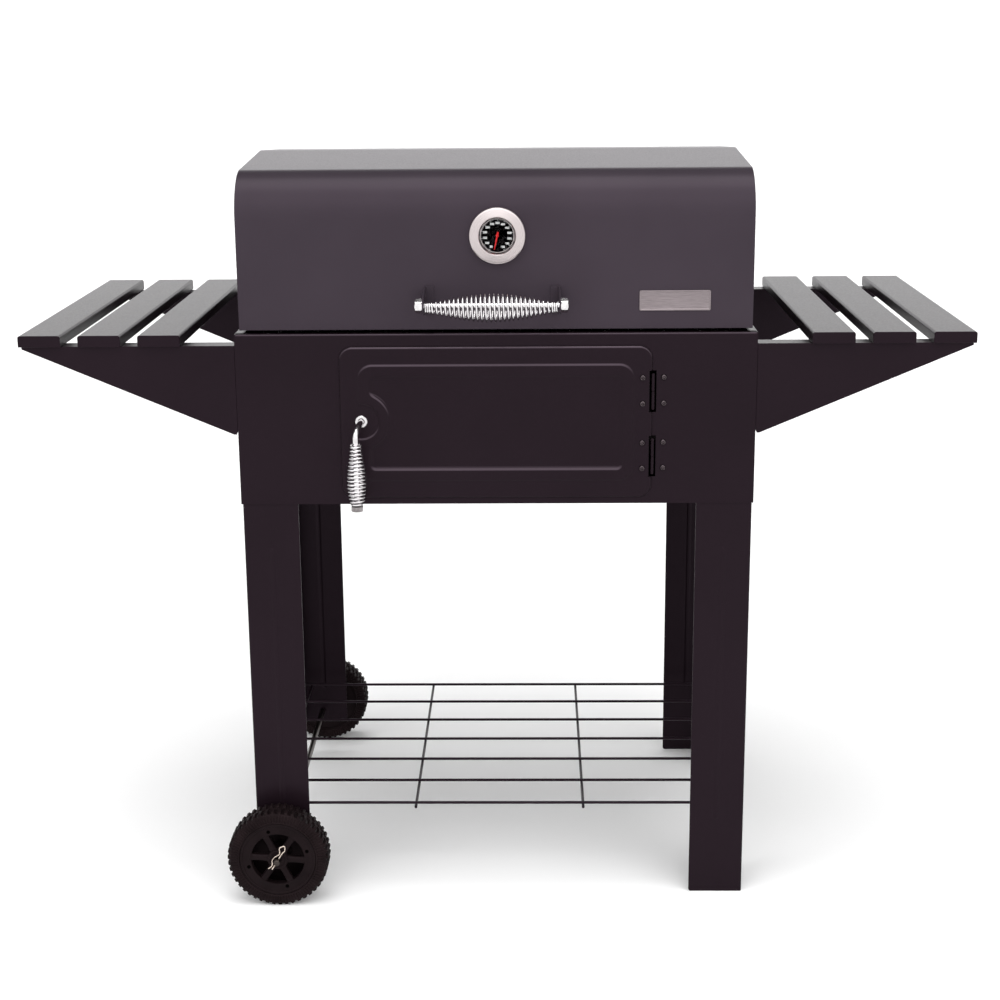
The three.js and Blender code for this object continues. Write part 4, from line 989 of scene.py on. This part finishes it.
# ------------------------------------------------------------------ thermometer
def make_thermometer():
    low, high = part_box("thermometer_case")
    centre = (low + high) / 2
    back = Vector((centre.x, high.y, centre.z))
    radius = (high.x - low.x) / 2
    depth = high.y - low.y
    floor = 3 * MM
    wall = 25 * MM
    profile = [
        (0, 0), (radius - 1.2 * MM, 0), (radius - 0.3 * MM, 0.3 * MM), (radius, 1.0 * MM),
        (radius, depth - 5.2 * MM), (radius - 0.35 * MM, depth - 4.3 * MM), (
            radius - 1.3 * MM, depth - 3.5 * MM,
        ),
        (radius - 2.6 * MM, depth - 3.0 * MM), (wall + 4.6 * MM, depth - 0.3 * MM), (
            wall + 3.6 * MM, depth,
        ),
        (wall + 2.6 * MM, depth - 0.2 * MM), (wall + 1.9 * MM, depth - 0.9 * MM),
        (wall + 0.3 * MM, depth - 4.6 * MM), (wall, depth - 5.4 * MM), (wall, floor), (0, floor),
    ]
    case = turned("thermometer_case_turned", profile, back, -Y_AXIS, 96)
    settle(case, "lid", "turned", ("thermometer_case",), 28)

    dial_low, dial_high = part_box("thermometer_dial")
    dial_radius = (dial_high.x - dial_low.x) / 2
    thick = dial_high.y - dial_low.y
    profile = [
        (0, 0), (dial_radius, 0), (dial_radius, thick - 0.2 * MM), (dial_radius - 0.2 * MM, thick),
        (0, thick),
    ]
    dial = turned(
        "thermometer_dial_plate", profile, Vector((centre.x, dial_high.y, centre.z)), -Y_AXIS, 64,
    )
    settle(dial, "lid", "dial", ("thermometer_dial",))
    glass_low, glass_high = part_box("thermometer_glass")
    thick = glass_high.y - glass_low.y
    edge = 0.3 * MM
    profile = [
        (0, 0), (dial_radius, 0), (dial_radius, thick - edge), (dial_radius - edge, thick),
        (0, thick),
    ]
    glass = turned(
        "thermometer_glass_flat", profile, Vector((centre.x, glass_high.y, centre.z)), -Y_AXIS, 64,
    )
    settle(glass, "lid", "glass", ("thermometer_glass",))
    make_dial_marks(Vector((centre.x, dial_low.y, centre.z)), dial_radius)

    make_needle(centre)
    stem_low, stem_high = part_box("thermometer_stem")
    stem_radius = (stem_high.x - stem_low.x) / 2
    stem = chamfered_rod(
        "thermometer_stem_turned", Vector((centre.x, stem_low.y, centre.z)),
        Vector((centre.x, stem_high.y, centre.z)), stem_radius, 2.5 * MM,
    )
    settle(stem, "lid", "brushed", ("thermometer_stem",))


def make_needle(centre):
    """A tapered pointer with a short tail and a domed boss, pointing where the CAD needle does."""
    low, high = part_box("thermometer_needle")
    angle = NEEDLE_ANGLE
    along = Vector((math.sin(angle), 0, math.cos(angle)))
    side = Vector((math.cos(angle), 0, -math.sin(angle)))
    outline = [
        (-5.5, 1.1), (-4.6, 1.3), (0, 1.15), (12, 0.8), (20.2, 0.4), (21.2, 0),
        (20.2, -0.4), (12, -0.8), (0, -1.15), (-4.6, -1.3), (-5.5, -1.1),
    ]
    pivot = Vector((centre.x, 0, centre.z))
    points = []
    for y in (low.y, low.y + 0.6 * MM):
        points += [pivot + along * (u * MM) + side * (v * MM) + Y_AXIS * y for u, v in outline]
    n = len(outline)
    faces = [tuple(range(n)), tuple(range(2 * n - 1, n - 1, -1))]
    faces += [(i, n + i, n + (i + 1) % n, (i + 1) % n) for i in range(n)]
    mesh = mesh_from("needle_pointer", points, faces)
    fix_normals(mesh)
    pointer = new_object("needle_pointer", mesh)
    settle(pointer, "needle", "needle", ("thermometer_needle",))
    dome = [
        (0, 0), (2.3 * MM, 0), (2.3 * MM, 0.5 * MM), (1.7 * MM, 0.9 * MM), (0.9 * MM, 1.1 * MM),
        (0, 1.15 * MM),
    ]
    place = Vector((centre.x, low.y + 0.7 * MM, centre.z))
    boss = turned("needle_boss", dome, place, -Y_AXIS, 32)
    settle(boss, "needle", "needle")


NEEDLE_ANGLE = math.radians(192)
SCALE_NUMBERS = [str(50 * i) for i in range(1, 14)]
SCALE_START, SCALE_END = 209, 514.5  # degrees clockwise from the top


def make_dial_marks(centre, radius):
    work = bmesh.new()
    lift = 0.12 * MM

    def bar(angle, inner, outer, width):
        along = Vector((math.sin(angle), 0, math.cos(angle)))
        side = Vector((math.cos(angle), 0, -math.sin(angle))) * width / 2
        corners = [
            along * inner - side, along * inner + side, along * outer + side, along * outer - side,
        ]
        top = [work.verts.new(centre + c - Y_AXIS * lift) for c in corners]
        base = [work.verts.new(centre + c) for c in corners]
        work.faces.new(top)
        work.faces.new(base[::-1])
        for i in range(4):
            work.faces.new((top[i], base[i], base[(i + 1) % 4], top[(i + 1) % 4]))

    count = len(SCALE_NUMBERS)
    for i in range(4 * (count - 1) + 1):
        angle = math.radians(SCALE_START + (SCALE_END - SCALE_START) * i / (4 * (count - 1)))
        long_mark = i % 4 == 0
        bar(
            angle, radius * (0.92 if long_mark else 0.95), radius * 0.98, (
                0.5 if long_mark else 0.2
            ) * MM,
        )
    for i, number in enumerate(SCALE_NUMBERS):
        angle = math.radians(SCALE_START + (SCALE_END - SCALE_START) * i / (count - 1))
        text = bpy.data.curves.new("number", "FONT")
        text.body = number
        text.size = 4.2 * MM
        text.align_x = "CENTER"
        text.align_y = "CENTER"
        text.extrude = lift / 2
        text.offset = 0.16 * MM
        holder = bpy.data.objects.new("number", text)
        bpy.context.scene.collection.objects.link(holder)
        bpy.context.view_layer.update()
        shape = bpy.data.meshes.new_from_object(
            holder.evaluated_get(bpy.context.evaluated_depsgraph_get()),
        )
        place = centre + Vector((math.sin(angle), 0, math.cos(angle))) * radius * DIAL_NUMBER_REACH - Y_AXIS * lift / 2
        shape.transform(Matrix.Translation(place) @ Matrix.Rotation(math.pi / 2, 4, "X"))
        work.from_mesh(shape)
        bpy.data.objects.remove(holder)
        bpy.data.meshes.remove(shape)
    mesh = bpy.data.meshes.new("dial_marks")
    work.to_mesh(mesh)
    work.free()
    settle(new_object("dial_marks", mesh), "lid", "marks")


# ------------------------------------------------------------------ screws and bolts
def screw_head(name, place, axis, radius, height, body, material="steel_screw"):
    """A pan-head screw with a cross recess, its head standing along axis from place."""
    segments, rings = 32, 12
    recess, arm = radius * 0.52, radius * 0.15
    points = [(0, 0, height * 0.62)]
    for k in range(1, rings + 1):
        r = radius * k / rings
        for i in range(segments):
            angle = 2 * math.pi * i / segments
            x, y = r * math.cos(angle), r * math.sin(angle)
            dome = height * math.sqrt(max(1 - (r / radius) ** 2.1, 0))
            away = max(min(abs(x), abs(y)) - arm, max(abs(x), abs(y)) - recess)
            sunk = height * 0.45 * step_down(away, radius * 0.08)
            points.append((x, y, dome - sunk))
    points += [(
        radius * math.cos(2 * math.pi * i / segments),
        radius * math.sin(2 * math.pi * i / segments), -0.2 * MM,
    )
               for i in range(segments)]
    faces = [(0, 1 + i, 1 + (i + 1) % segments) for i in range(segments)]
    for k in range(rings):
        a, b = 1 + k * segments, 1 + (k + 1) * segments
        faces += [
            (a + i, b + i, b + (i + 1) % segments, a + (i + 1) % segments) for i in range(segments)
        ]
    last = 1 + rings * segments
    faces.append(tuple(last + i for i in reversed(range(segments))))
    mesh = mesh_from(name, points, faces)
    fix_normals(mesh)
    place_along(mesh, place, axis)
    return settle(new_object(name, mesh), body, material, (), 40)


def make_screws():
    radius, height = 4.6 * MM, 3.4 * MM
    door_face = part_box("door_panel")[0].y + 2 * MM
    for name in ("lower", "upper"):
        low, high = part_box("door_hinge_fixed_" + name)
        axis_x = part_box("door_panel")[1].x + 0.8 * MM
        middle = (low.z + high.z) / 2
        for level, rise in (("top", 1), ("bottom", -1)):
            z = middle + rise * 19.6 * MM + 1.5 * MM
            screw_head(
                f"door_screw_{name}_{level}", Vector((axis_x - DOOR_SCREW_INSET, door_face, z)),
                -Y_AXIS, radius, height, "door",
            )
            screw_head(
                f"panel_screw_{name}_{level}", Vector((axis_x + PANEL_SCREW_INSET, FRONT, z)),
                -Y_AXIS, radius, height, "frame",
            )
    side_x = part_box("firebox_right")[1].x
    bolt_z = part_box("firebox_front")[0].z
    for end, y in (("front", FRONT + 44 * MM), ("rear", BACK - 44 * MM)):
        for side_name, side in (("left", -1), ("right", 1)):
            for level, rise in (("low", 22), ("high", 66)):
                place = Vector((side * side_x, y, bolt_z + rise * MM))
                screw_head(
                    f"leg_screw_{end}_{side_name}_{level}", place, X_AXIS * side, 5.5 * MM, 3 * MM,
                    "frame",
                )
            for level, drop in (("low", 100), ("high", 40)):
                bracket_low, bracket_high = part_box(f"bracket_{end}_{side_name}")
                y_in = (bracket_low.y + bracket_high.y) / 2
                face_x = side * (side_x + 0.3 * MM + SHEET)
                place = Vector((face_x, y_in, bracket_high.z - drop * MM))
                screw_head(
                    f"bracket_screw_{end}_{side_name}_{level}", place, X_AXIS * side, 5.5 * MM,
                    3 * MM, "frame",
                )
    for side_name in ("left", "right"):
        for node, body in (("lid_hinge_fixed_", "frame"), ("lid_hinge_moving_", "lid")):
            low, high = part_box(node + side_name)
            fixed = body == "frame"
            leaf_back = low.y + 2 * MM
            middle = (low.x + high.x) / 2
            z = low.z + 19 * MM if fixed else high.z - 17 * MM
            for k, offset in enumerate((-16, 16) if fixed else (-6.5, 6.5)):
                place = Vector((middle + offset * MM, leaf_back, z))
                screw_head(
                    f"lid_hinge_screw_{body}_{side_name}_{k}", place, Y_AXIS, 4 * MM, 2.4 * MM,
                    body,
                )


# ------------------------------------------------------------------ wheels
TREAD_BLOCKS = 47
TREAD_SAMPLES = 12
TREAD_DEPTH = 3.4 * MM
RIB_DEPTH = 0.9 * MM


def make_wheel(end):
    low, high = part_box("tyre_" + end)
    centre = (low + high) / 2
    radius = (high.z - low.z) / 2
    width = high.y - low.y
    outward = -1 if end == "front" else 1
    outer_y = low.y if outward < 0 else high.y
    inner_radius = 60.3 * MM
    # (radius, distance from the outer face, part): s is sidewall, a and b are tread rows, p is plain
    side = [
        (inner_radius, 3.0, "p"), (inner_radius, 1.4, "p"), (61.2 * MM, 0.5, "p"), (
            62.4 * MM, 0.2, "p",
        ),
        (63.2 * MM, 0.9, "s"), (64.0 * MM, 1.0, "s"), (68.0 * MM, 0.6, "s"), (72.0 * MM, 0.9, "s"),
        (74.0 * MM, 1.6, "s"), (74.6 * MM, 2.2, "p"), (75.2 * MM, 3.0, "p"),
    ]
    front_row = [
        (radius - TREAD_DEPTH, 3.9, "p"), (radius - 2.4 * MM, 3.9, "a"), (
            radius - 0.7 * MM, 4.6, "a",
        ),
        (radius, 6.2, "a"), (radius, 18.6, "a"), (radius - 0.8 * MM, 19.4, "a"), (
            radius - TREAD_DEPTH, 20.0, "p",
        ),
    ]
    middle = [
        (radius - TREAD_DEPTH, 21.0, "p"), (radius - 1.6 * MM, 21.4, "p"), (
            radius - 1.6 * MM, 23.6, "p",
        ),
    ]
    total = width / MM
    front_half = [(r, d * MM, kind) for r, d, kind in side + front_row + middle]
    swap = {"a": "b", "s": "s", "p": "p"}
    back_half = [
        (r, (total - d) * MM, swap[kind]) for r, d, kind in reversed(side + front_row + middle[:1])
    ]
    profile = front_half + back_half
    count = TREAD_BLOCKS * TREAD_SAMPLES
    points, faces = [], []
    for r, d, kind in profile:
        for i in range(count):
            sample = i % TREAD_SAMPLES
            reach = r
            depth = d
            if kind == "a" and not 1 <= sample <= 6:
                reach = min(r, radius - TREAD_DEPTH)
            if kind == "b" and (1 <= sample <= 6 or sample == 0):
                reach = min(r, radius - TREAD_DEPTH)
            if kind == "s" and sample % 6 < 3:
                depth = d + RIB_DEPTH if d < width / 2 else d - RIB_DEPTH
            angle = 2 * math.pi * i / count
            y = outer_y - outward * depth
            points.append(
                (centre.x + reach * math.cos(angle), y, centre.z + reach * math.sin(angle)),
            )
    rows = len(profile)
    for k in range(rows):
        for i in range(count):
            j = (i + 1) % count
            nxt = (k + 1) % rows
            faces.append((k * count + i, k * count + j, nxt * count + j, nxt * count + i))
    name = f"tyre_{end}_moulded"
    mesh = mesh_from(name, points, faces)
    fix_normals(mesh)
    settle(new_object(name, mesh), end + "_wheel", "tread", ("tyre_" + end,), 30)
    make_hub(end, centre, outer_y, outward, width)


HUB_RIM_RADIUS, HUB_WINDOW_RADIUS, HUB_BOSS_RADIUS = 59.9, 42.0, 16.0
HUB_HOLE_CIRCLE, HUB_HOLE_RADIUS = 48.0, 3.0
HUB_HOLE_TURN, SPOKE_TURN = math.radians(16), math.radians(-4)
SPOKE_COUNT = 6


def make_hub(end, centre, outer_y, outward, width):
    """The rim face, boss and closed back are turned. The spokes are rounded bars between them."""
    inward = -Y_AXIS * outward
    place = Vector((centre.x, outer_y, centre.z))
    depth = width / MM
    rim, window, boss = HUB_RIM_RADIUS, HUB_WINDOW_RADIUS, HUB_BOSS_RADIUS
    ring = [
        (rim, 2.6), (rim - 0.3, 1.9), (rim - 0.9, 1.6), (rim - 3.6, 1.6), (rim - 4.2, 2.0),
        (rim - 4.6, 2.8),
        (window + 3.0, 3.0), (window + 2.4, 2.6), (window + 1.0, 2.5), (window + 0.3, 2.8),
        (window, 3.6),
        (window, 15), (rim - 4, 17), (rim - 4, depth - 3), (rim, depth - 3),
    ]
    back = [(5.6, depth - 6), (rim - 3, depth - 6), (rim - 3, depth - 3), (5.6, depth - 3)]
    centre_boss = [
        (5.6, 1.2), (boss - 4.4, 1.2), (boss - 3.8, 0.6), (boss - 1.0, 0.5), (boss - 0.3, 0.9),
        (boss, 1.8),
        (boss, depth - 1.2), (5.6, depth - 1.2),
    ]
    parts = []
    for name, profile in (("ring", ring), ("back", back), ("boss", centre_boss)):
        scaled = [(r * MM, d * MM) for r, d in profile]
        parts.append(turned(f"hub_{end}_{name}", scaled, place, inward, 96, True))
    spokes = bmesh.new()
    for i in range(SPOKE_COUNT):
        angle = SPOKE_TURN + 2 * math.pi * i / SPOKE_COUNT
        along = Vector((math.cos(angle), 0, math.sin(angle)))
        across = Vector((-math.sin(angle), 0, math.cos(angle)))
        rings = []
        for r, half in (
            (boss - 3, 7.0), (boss + 2, 6.0), (24, 5.4), (34, 5.4), (window - 1, 6.2),
            (window + 2, 7.4),
        ):
            ring_points = []
            for k in range(20):
                turn = 2 * math.pi * k / 20
                u = math.copysign(abs(math.cos(turn)) ** 0.7, math.cos(turn)) * half
                v = math.copysign(abs(math.sin(turn)) ** 0.7, math.sin(turn)) * 5.5 + 8.6
                ring_points.append(
                    spokes.verts.new(
                        place + along * (r * MM) + across * (u * MM) + inward * (v * MM),
                    ),
                )
            rings.append(ring_points)
        for a, b in zip(rings, rings[1:]):
            for k in range(20):
                j = (k + 1) % 20
                spokes.faces.new((a[k], a[j], b[j], b[k]))
        spokes.faces.new(rings[0])
        spokes.faces.new(rings[-1])
    bmesh.ops.recalc_face_normals(spokes, faces=spokes.faces)
    mesh = bpy.data.meshes.new(f"hub_{end}_spokes")
    spokes.to_mesh(mesh)
    spokes.free()
    parts.append(new_object(f"hub_{end}_spokes", mesh))
    for k, part in enumerate(parts):
        settle(part, end + "_wheel", "hub", ("wheel_hub_" + end,) if k == 0 else (), 40)
    # Four small blind holes in the rim face, drawn as dark cups with a lip: near-black, painted shade in the holes
    for i in range(4):
        angle = HUB_HOLE_TURN + i * math.pi / 2
        spot = place + Vector((math.cos(angle), 0, math.sin(angle))) * (HUB_HOLE_CIRCLE * MM)
        r = HUB_HOLE_RADIUS
        cup = [(r, 3.1), (r - 0.1, 2.75), (r - 0.4, 2.7), (r - 0.9, 2.74), (0, 2.76)]
        cup = [(c * MM, d * MM) for c, d in cup]
        piece = turned(f"hub_{end}_hole_{i}", cup, spot, inward, 24)
        settle(piece, end + "_wheel", "painted_shade_black", (), 40)


def make_axle():
    low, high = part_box("axle")
    centre = (low + high) / 2
    radius = (high.z - low.z) / 2
    a, b = Vector((centre.x, low.y, centre.z)), Vector((centre.x, high.y, centre.z))
    axle = chamfered_rod("axle_turned", a, b, radius, 1.2 * MM)
    settle(axle, "frame", "axle_steel", ("axle",))
    turn = math.radians(58)
    arm, grip, loop = 22, 6.4, 6
    outline = [
        (-arm + 6, 0), (0, 0), (arm - 6, 0), (arm, -1), (arm + loop, loop / 2), (arm, loop + 2),
        (arm - 9, 3.2),
        (grip / 2, grip + 0.6), (-grip / 2, grip + 0.6), (-grip - 4, 3.4), (-arm + 4, 5.5),
    ]
    for end in ("front", "rear"):
        clip_low, clip_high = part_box("axle_clip_" + end)
        y = (clip_low.y + clip_high.y) / 2
        path = smooth_path([
            (
                centre.x + (u * math.cos(turn) - v * math.sin(turn)) * MM, y,
                centre.z + (u * math.sin(turn) + v * math.cos(turn)) * MM,
            )
            for u, v in outline
        ], 8)
        clip = new_object(
            f"axle_clip_{end}_bent", tube_mesh(f"axle_clip_{end}_bent", path, 1.0 * MM, 12),
        )
        settle(clip, "frame", "zinc", ("axle_clip_" + end,), 60)


# ------------------------------------------------------------------ rack
RACK_WIRES = 7
RACK_FRONT_INSET, RACK_REAR_INSET = 20 * MM, 38 * MM
RACK_CROSS = 133 * MM
RACK_END_INSET = 25 * MM
WIRE = 2.25 * MM


def make_rack():
    low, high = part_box("bottom_rack")
    level = high.z - WIRE
    cross_level = low.z + WIRE
    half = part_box("firebox_right")[1].x
    first, last = FRONT + RACK_FRONT_INSET, BACK - RACK_REAR_INSET
    work = bmesh.new()

    def wire(a, b):
        steps = 8
        path = [a + (b - a) * i / steps for i in range(steps + 1)]
        part = tube_mesh("wire", path, WIRE, 16)
        work.from_mesh(part)
        bpy.data.meshes.remove(part)

    for i in range(RACK_WIRES):
        y = first + (last - first) * i / (RACK_WIRES - 1)
        reach = high.x - WIRE * 0.35 if i in (0, RACK_WIRES - 1) else half - RACK_END_INSET + WIRE
        wire(Vector((-reach, y, level)), Vector((reach, y, level)))
    for x in (-half + RACK_END_INSET, -RACK_CROSS, RACK_CROSS, half - RACK_END_INSET):
        wire(
            Vector((x, low.y + WIRE * 0.35, cross_level)), Vector(
                (x, high.y - WIRE * 0.35, cross_level),
            ),
        )
    mesh = bpy.data.meshes.new("bottom_rack_wires")
    work.to_mesh(mesh)
    work.free()
    settle(new_object("bottom_rack_wires", mesh), "frame", "enamel", ("bottom_rack",), 60)


# ------------------------------------------------------------------ plate
def make_plate():
    low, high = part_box("blank_plate")
    centre = ((low.x + high.x) / 2, (low.z + high.z) / 2)
    half = ((high.x - low.x) / 2, (high.z - low.z) / 2)
    depth = high.y - low.y
    rows = [
        (0, 0), (0, depth * 0.7), (0.25 * MM, depth * 0.92), (0.7 * MM, depth), (1.8 * MM, depth),
        (2.2 * MM, depth * 0.9), (2.6 * MM, depth * 0.62), (3.2 * MM, depth * 0.56),
    ]
    counts = (40, 12, 8)
    points, faces = [], []
    for inset, rise in rows:
        loop_half = (half[0] - inset, half[1] - inset)
        corner = max(2.4 * MM - inset, 0.6 * MM)
        points += [
            (x, high.y - rise, z) for x, z in rounded_outline(centre, loop_half, corner, counts)
        ]
    n = len(points) // len(rows)
    for k in range(len(rows) - 1):
        for i in range(n):
            j = (i + 1) % n
            faces.append((k * n + i, k * n + j, (k + 1) * n + j, (k + 1) * n + i))
    faces.append(tuple(range((len(rows) - 1) * n, len(rows) * n)))
    faces.append(tuple(reversed(range(n))))
    mesh = mesh_from("blank_plate_formed", points, faces)
    fix_normals(mesh)
    settle(
        new_object("blank_plate_formed", mesh), "lid", "brushed", ("blank_plate",), 30,
    )


# ------------------------------------------------------------------ door hinges
HINGE_BARREL, HINGE_SLOT_HALF, HINGE_LEAF = 2.4 * MM, 5 * MM, 27 * MM
HINGE_END_GAP = 3.2 * MM


def box_into(work, low, high):
    made = bmesh.ops.create_cube(work, size=1)["verts"]
    size = Vector(high) - Vector(low)
    middle = (Vector(high) + Vector(low)) / 2
    for vert in made:
        vert.co = Vector((vert.co.x * size.x, vert.co.y * size.y, vert.co.z * size.z)) + middle


def barrel_into(work, place, low, high, radius):
    mesh = lathe_mesh("barrel", [
        (0, low), (radius - 0.4 * MM, low), (radius, low + 0.4 * MM),
        (radius, high - 0.4 * MM), (radius - 0.4 * MM, high), (0, high),
    ], 24)
    mesh.transform(Matrix.Translation((place[0], place[1], 0)))
    work.from_mesh(mesh)
    bpy.data.meshes.remove(mesh)


def make_door_hinge(level):
    """A barrel in a slot. The leaves leave it at the back, so that a dark gap shows on both sides, and the necks that
    cross the gap are near-black: painted shade.
    """
    low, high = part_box("door_hinge_fixed_" + level)
    middle = (low.z + high.z) / 2
    axis_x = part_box("door_panel")[1].x + 0.8 * MM
    axis_y = FRONT - 2.2 * MM
    gap = 0.3 * MM
    behind = FRONT + 1.8 * MM
    thick = 1.2 * MM
    door_back = FRONT - 2.7 * MM
    slot_x = axis_x - HINGE_SLOT_HALF
    tab = 5 * MM
    fixed, moving = bmesh.new(), bmesh.new()
    necks = {"fixed": bmesh.new(), "moving": bmesh.new()}
    barrel_into(fixed, (axis_x, axis_y), low.z + HINGE_END_GAP, middle - gap / 2, HINGE_BARREL)
    box_into(
        fixed, (axis_x + HINGE_SLOT_HALF, behind, low.z), (
            axis_x + HINGE_LEAF, behind + thick, high.z,
        ),
    )
    barrel_into(moving, (axis_x, axis_y), middle + gap / 2, high.z - HINGE_END_GAP, HINGE_BARREL)
    box_into(
        moving, (axis_x - HINGE_LEAF, door_back, low.z), (
            slot_x - 0.3 * MM, door_back + thick, high.z,
        ),
    )
    for z in (middle - 9 * MM, middle - 21 * MM):
        box_into(
            necks["fixed"], (axis_x - thick / 2, axis_y + HINGE_BARREL * 0.8, z), (
                axis_x + thick / 2, behind + thick, z + tab,
            ),
        )
        box_into(
            necks["fixed"], (axis_x - thick / 2, behind, z), (
                axis_x + HINGE_SLOT_HALF, behind + thick, z + tab,
            ),
        )
    for z in (middle + 4 * MM, middle + 16 * MM):
        box_into(
            necks["moving"], (slot_x - 0.3 * MM, door_back + thick / 2, z), (
                axis_x - 1 * MM, door_back + thick, z + tab,
            ),
        )
    for kind, work, body in (("fixed", fixed, "frame"), ("moving", moving, "door")):
        mesh = bpy.data.meshes.new(f"door_hinge_{kind}_{level}_formed")
        work.to_mesh(mesh)
        work.free()
        leaf = new_object(mesh.name, mesh)
        settle(leaf, body, "enamel", (f"door_hinge_{kind}_{level}",), 40)
        neck = bpy.data.meshes.new(f"door_hinge_{kind}_{level}_neck")
        necks[kind].to_mesh(neck)
        necks[kind].free()
        # The necks are near-black: painted shade in the slot's gap
        settle(new_object(neck.name, neck), body, "painted_shade_black", (), 40)


# ------------------------------------------------------------------ grates
GRATE_BAR, GRATE_GAP, GRATE_STAY = 9 * MM, 17 * MM, 10 * MM
# One cast bar's section: shares of its width across, and of its height up
CAST_SECTION = [
    (-0.34, 0), (0.34, 0), (0.38, 0.05), (0.50, 0.76), (0.48, 0.88), (0.40, 0.97), (0.28, 1.0),
    (-0.28, 1.0), (-0.40, 0.97), (-0.48, 0.88), (-0.50, 0.76), (-0.38, 0.05),
]


def cast_bar(work, start, along, across, length, width, height):
    ends = []
    for step in (0, length):
        ends.append([
            work.verts.new(start + along * step + across * (u * width) + Z_AXIS * (v * height)) for u, v in CAST_SECTION
        ])
    count = len(CAST_SECTION)
    for k in range(count):
        j = (k + 1) % count
        work.faces.new((ends[0][k], ends[0][j], ends[1][j], ends[1][k]))
    work.faces.new(ends[0])
    work.faces.new(ends[1])


def make_grate(node, body, stays):
    """Cast bars that run from front to back, narrower below, between stays at shares of the depth."""
    low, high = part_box(node)
    width, depth, height = high - low
    count = math.floor((width - GRATE_BAR) / (GRATE_BAR + GRATE_GAP))
    pitch = (width - GRATE_BAR) / count
    work = bmesh.new()
    for i in range(count + 1):
        start = Vector((low.x + GRATE_BAR / 2 + i * pitch, low.y, low.z))
        cast_bar(work, start, Y_AXIS, X_AXIS, depth, GRATE_BAR, height)
    for share in stays:
        y = low.y + GRATE_STAY / 2 + (depth - GRATE_STAY) * share
        start = Vector((low.x + 0.2 * MM, y, low.z + 0.1 * MM))
        cast_bar(work, start, X_AXIS, Y_AXIS, width - 0.4 * MM, GRATE_STAY, height - 0.4 * MM)
    bmesh.ops.recalc_face_normals(work, faces=work.faces)
    mesh = bpy.data.meshes.new(node + "_cast")
    work.to_mesh(mesh)
    work.free()
    settle(new_object(mesh.name, mesh), body, "cast_iron", (node,), 40)


def make_ash_pan():
    """A folded tray with a rolled bead round its rim."""
    low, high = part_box("ash_pan")
    bead = 1.5 * MM
    top = high.z - bead
    inner_low = low + Vector((bead, bead, 0))
    inner_high = high - Vector((bead, bead, 0))
    work = bmesh.new()
    box_into(work, (inner_low.x, inner_low.y, low.z), (inner_high.x, inner_high.y, low.z + SHEET))
    for x in (inner_low.x, inner_high.x - SHEET):
        box_into(work, (x, inner_low.y, low.z), (x + SHEET, inner_high.y, top))
    for y in (inner_low.y, inner_high.y - SHEET):
        box_into(work, (inner_low.x, y, low.z), (inner_high.x, y + SHEET, top))
    mesh = bpy.data.meshes.new("ash_pan_folded")
    work.to_mesh(mesh)
    work.free()
    tray = new_object(mesh.name, mesh)
    settle(tray, "frame", "enamel", ("ash_pan",))
    soften(tray, 0.4 * MM, 2, 35)
    corners = [
        (inner_low.x, inner_low.y), (inner_high.x, inner_low.y), (inner_high.x, inner_high.y), (
            inner_low.x, inner_high.y,
        ),
    ]
    path = [Vector((x, y, top)) for x, y in corners]
    rim = new_object("ash_pan_bead", tube_mesh("ash_pan_bead", path, bead, 12))
    settle(rim, "frame", "enamel", (), 40)


# ------------------------------------------------------------------ the rest of the frame
RIM_RADIUS = 2.2 * MM


def make_top_rim(wall):
    """The front wall's top edge is rolled: its flange starts a little lower, behind a round bead."""
    low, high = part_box("firebox_front")
    for vert in wall.data.vertices:
        if vert.co.z > high.z - 0.1 * MM and vert.co.y < low.y + 0.1 * MM:
            vert.co.z -= 1.1 * RIM_RADIUS
    y, z = low.y + RIM_RADIUS, high.z - RIM_RADIUS
    path = [
        Vector((low.x + RIM_RADIUS, y, z)), Vector((0, y, z)), Vector((high.x - RIM_RADIUS, y, z)),
    ]
    mesh = tube_mesh("firebox_top_rim", path, RIM_RADIUS, 20)
    # Painted highlight: the whole bead gets a raised specular level so its light line shows
    painted_sheen = mesh.attributes.new("painted_sheen", "FLOAT", "POINT")
    for value in painted_sheen.data:
        value.value = 0.6
    settle(new_object("firebox_top_rim", mesh), "frame", "painted_highlight_enamel", (), 40)


def make_sheet_parts():
    for name in ("front", "rear", "left", "right", "floor"):
        wall = finished("firebox_" + name, 0.6 * MM, "enamel", 3)
        if name == "front":
            make_top_rim(wall)
    for side in ("left", "right"):
        for end in ("front", "rear"):
            finished(f"bracket_{end}_{side}", 0.6 * MM, "enamel", 2)
            make_leg(end, side)
        for i in (1, 2, 3):
            finished(f"slat_{side}_{i}", 2.4 * MM, "enamel", 3)
        for kind in ("fixed", "moving"):
            finished(f"lid_hinge_{kind}_{side}", 0.4 * MM, "enamel", 2)
        make_grate("cooking_grate_" + side, side + "_grate", (0, 0.5, 1))
    for level in ("lower", "upper"):
        make_door_hinge(level)
    make_grate("charcoal_grate", "frame", (0, 1))
    make_ash_pan()


make_camera()
make_stage()
MATERIALS = make_materials()
make_sheet_parts()
make_lid()
make_door()
make_handle()
make_latch()
make_thermometer()
make_plate()
make_screws()
make_axle()
make_wheel("front")
make_wheel("rear")
make_rack()
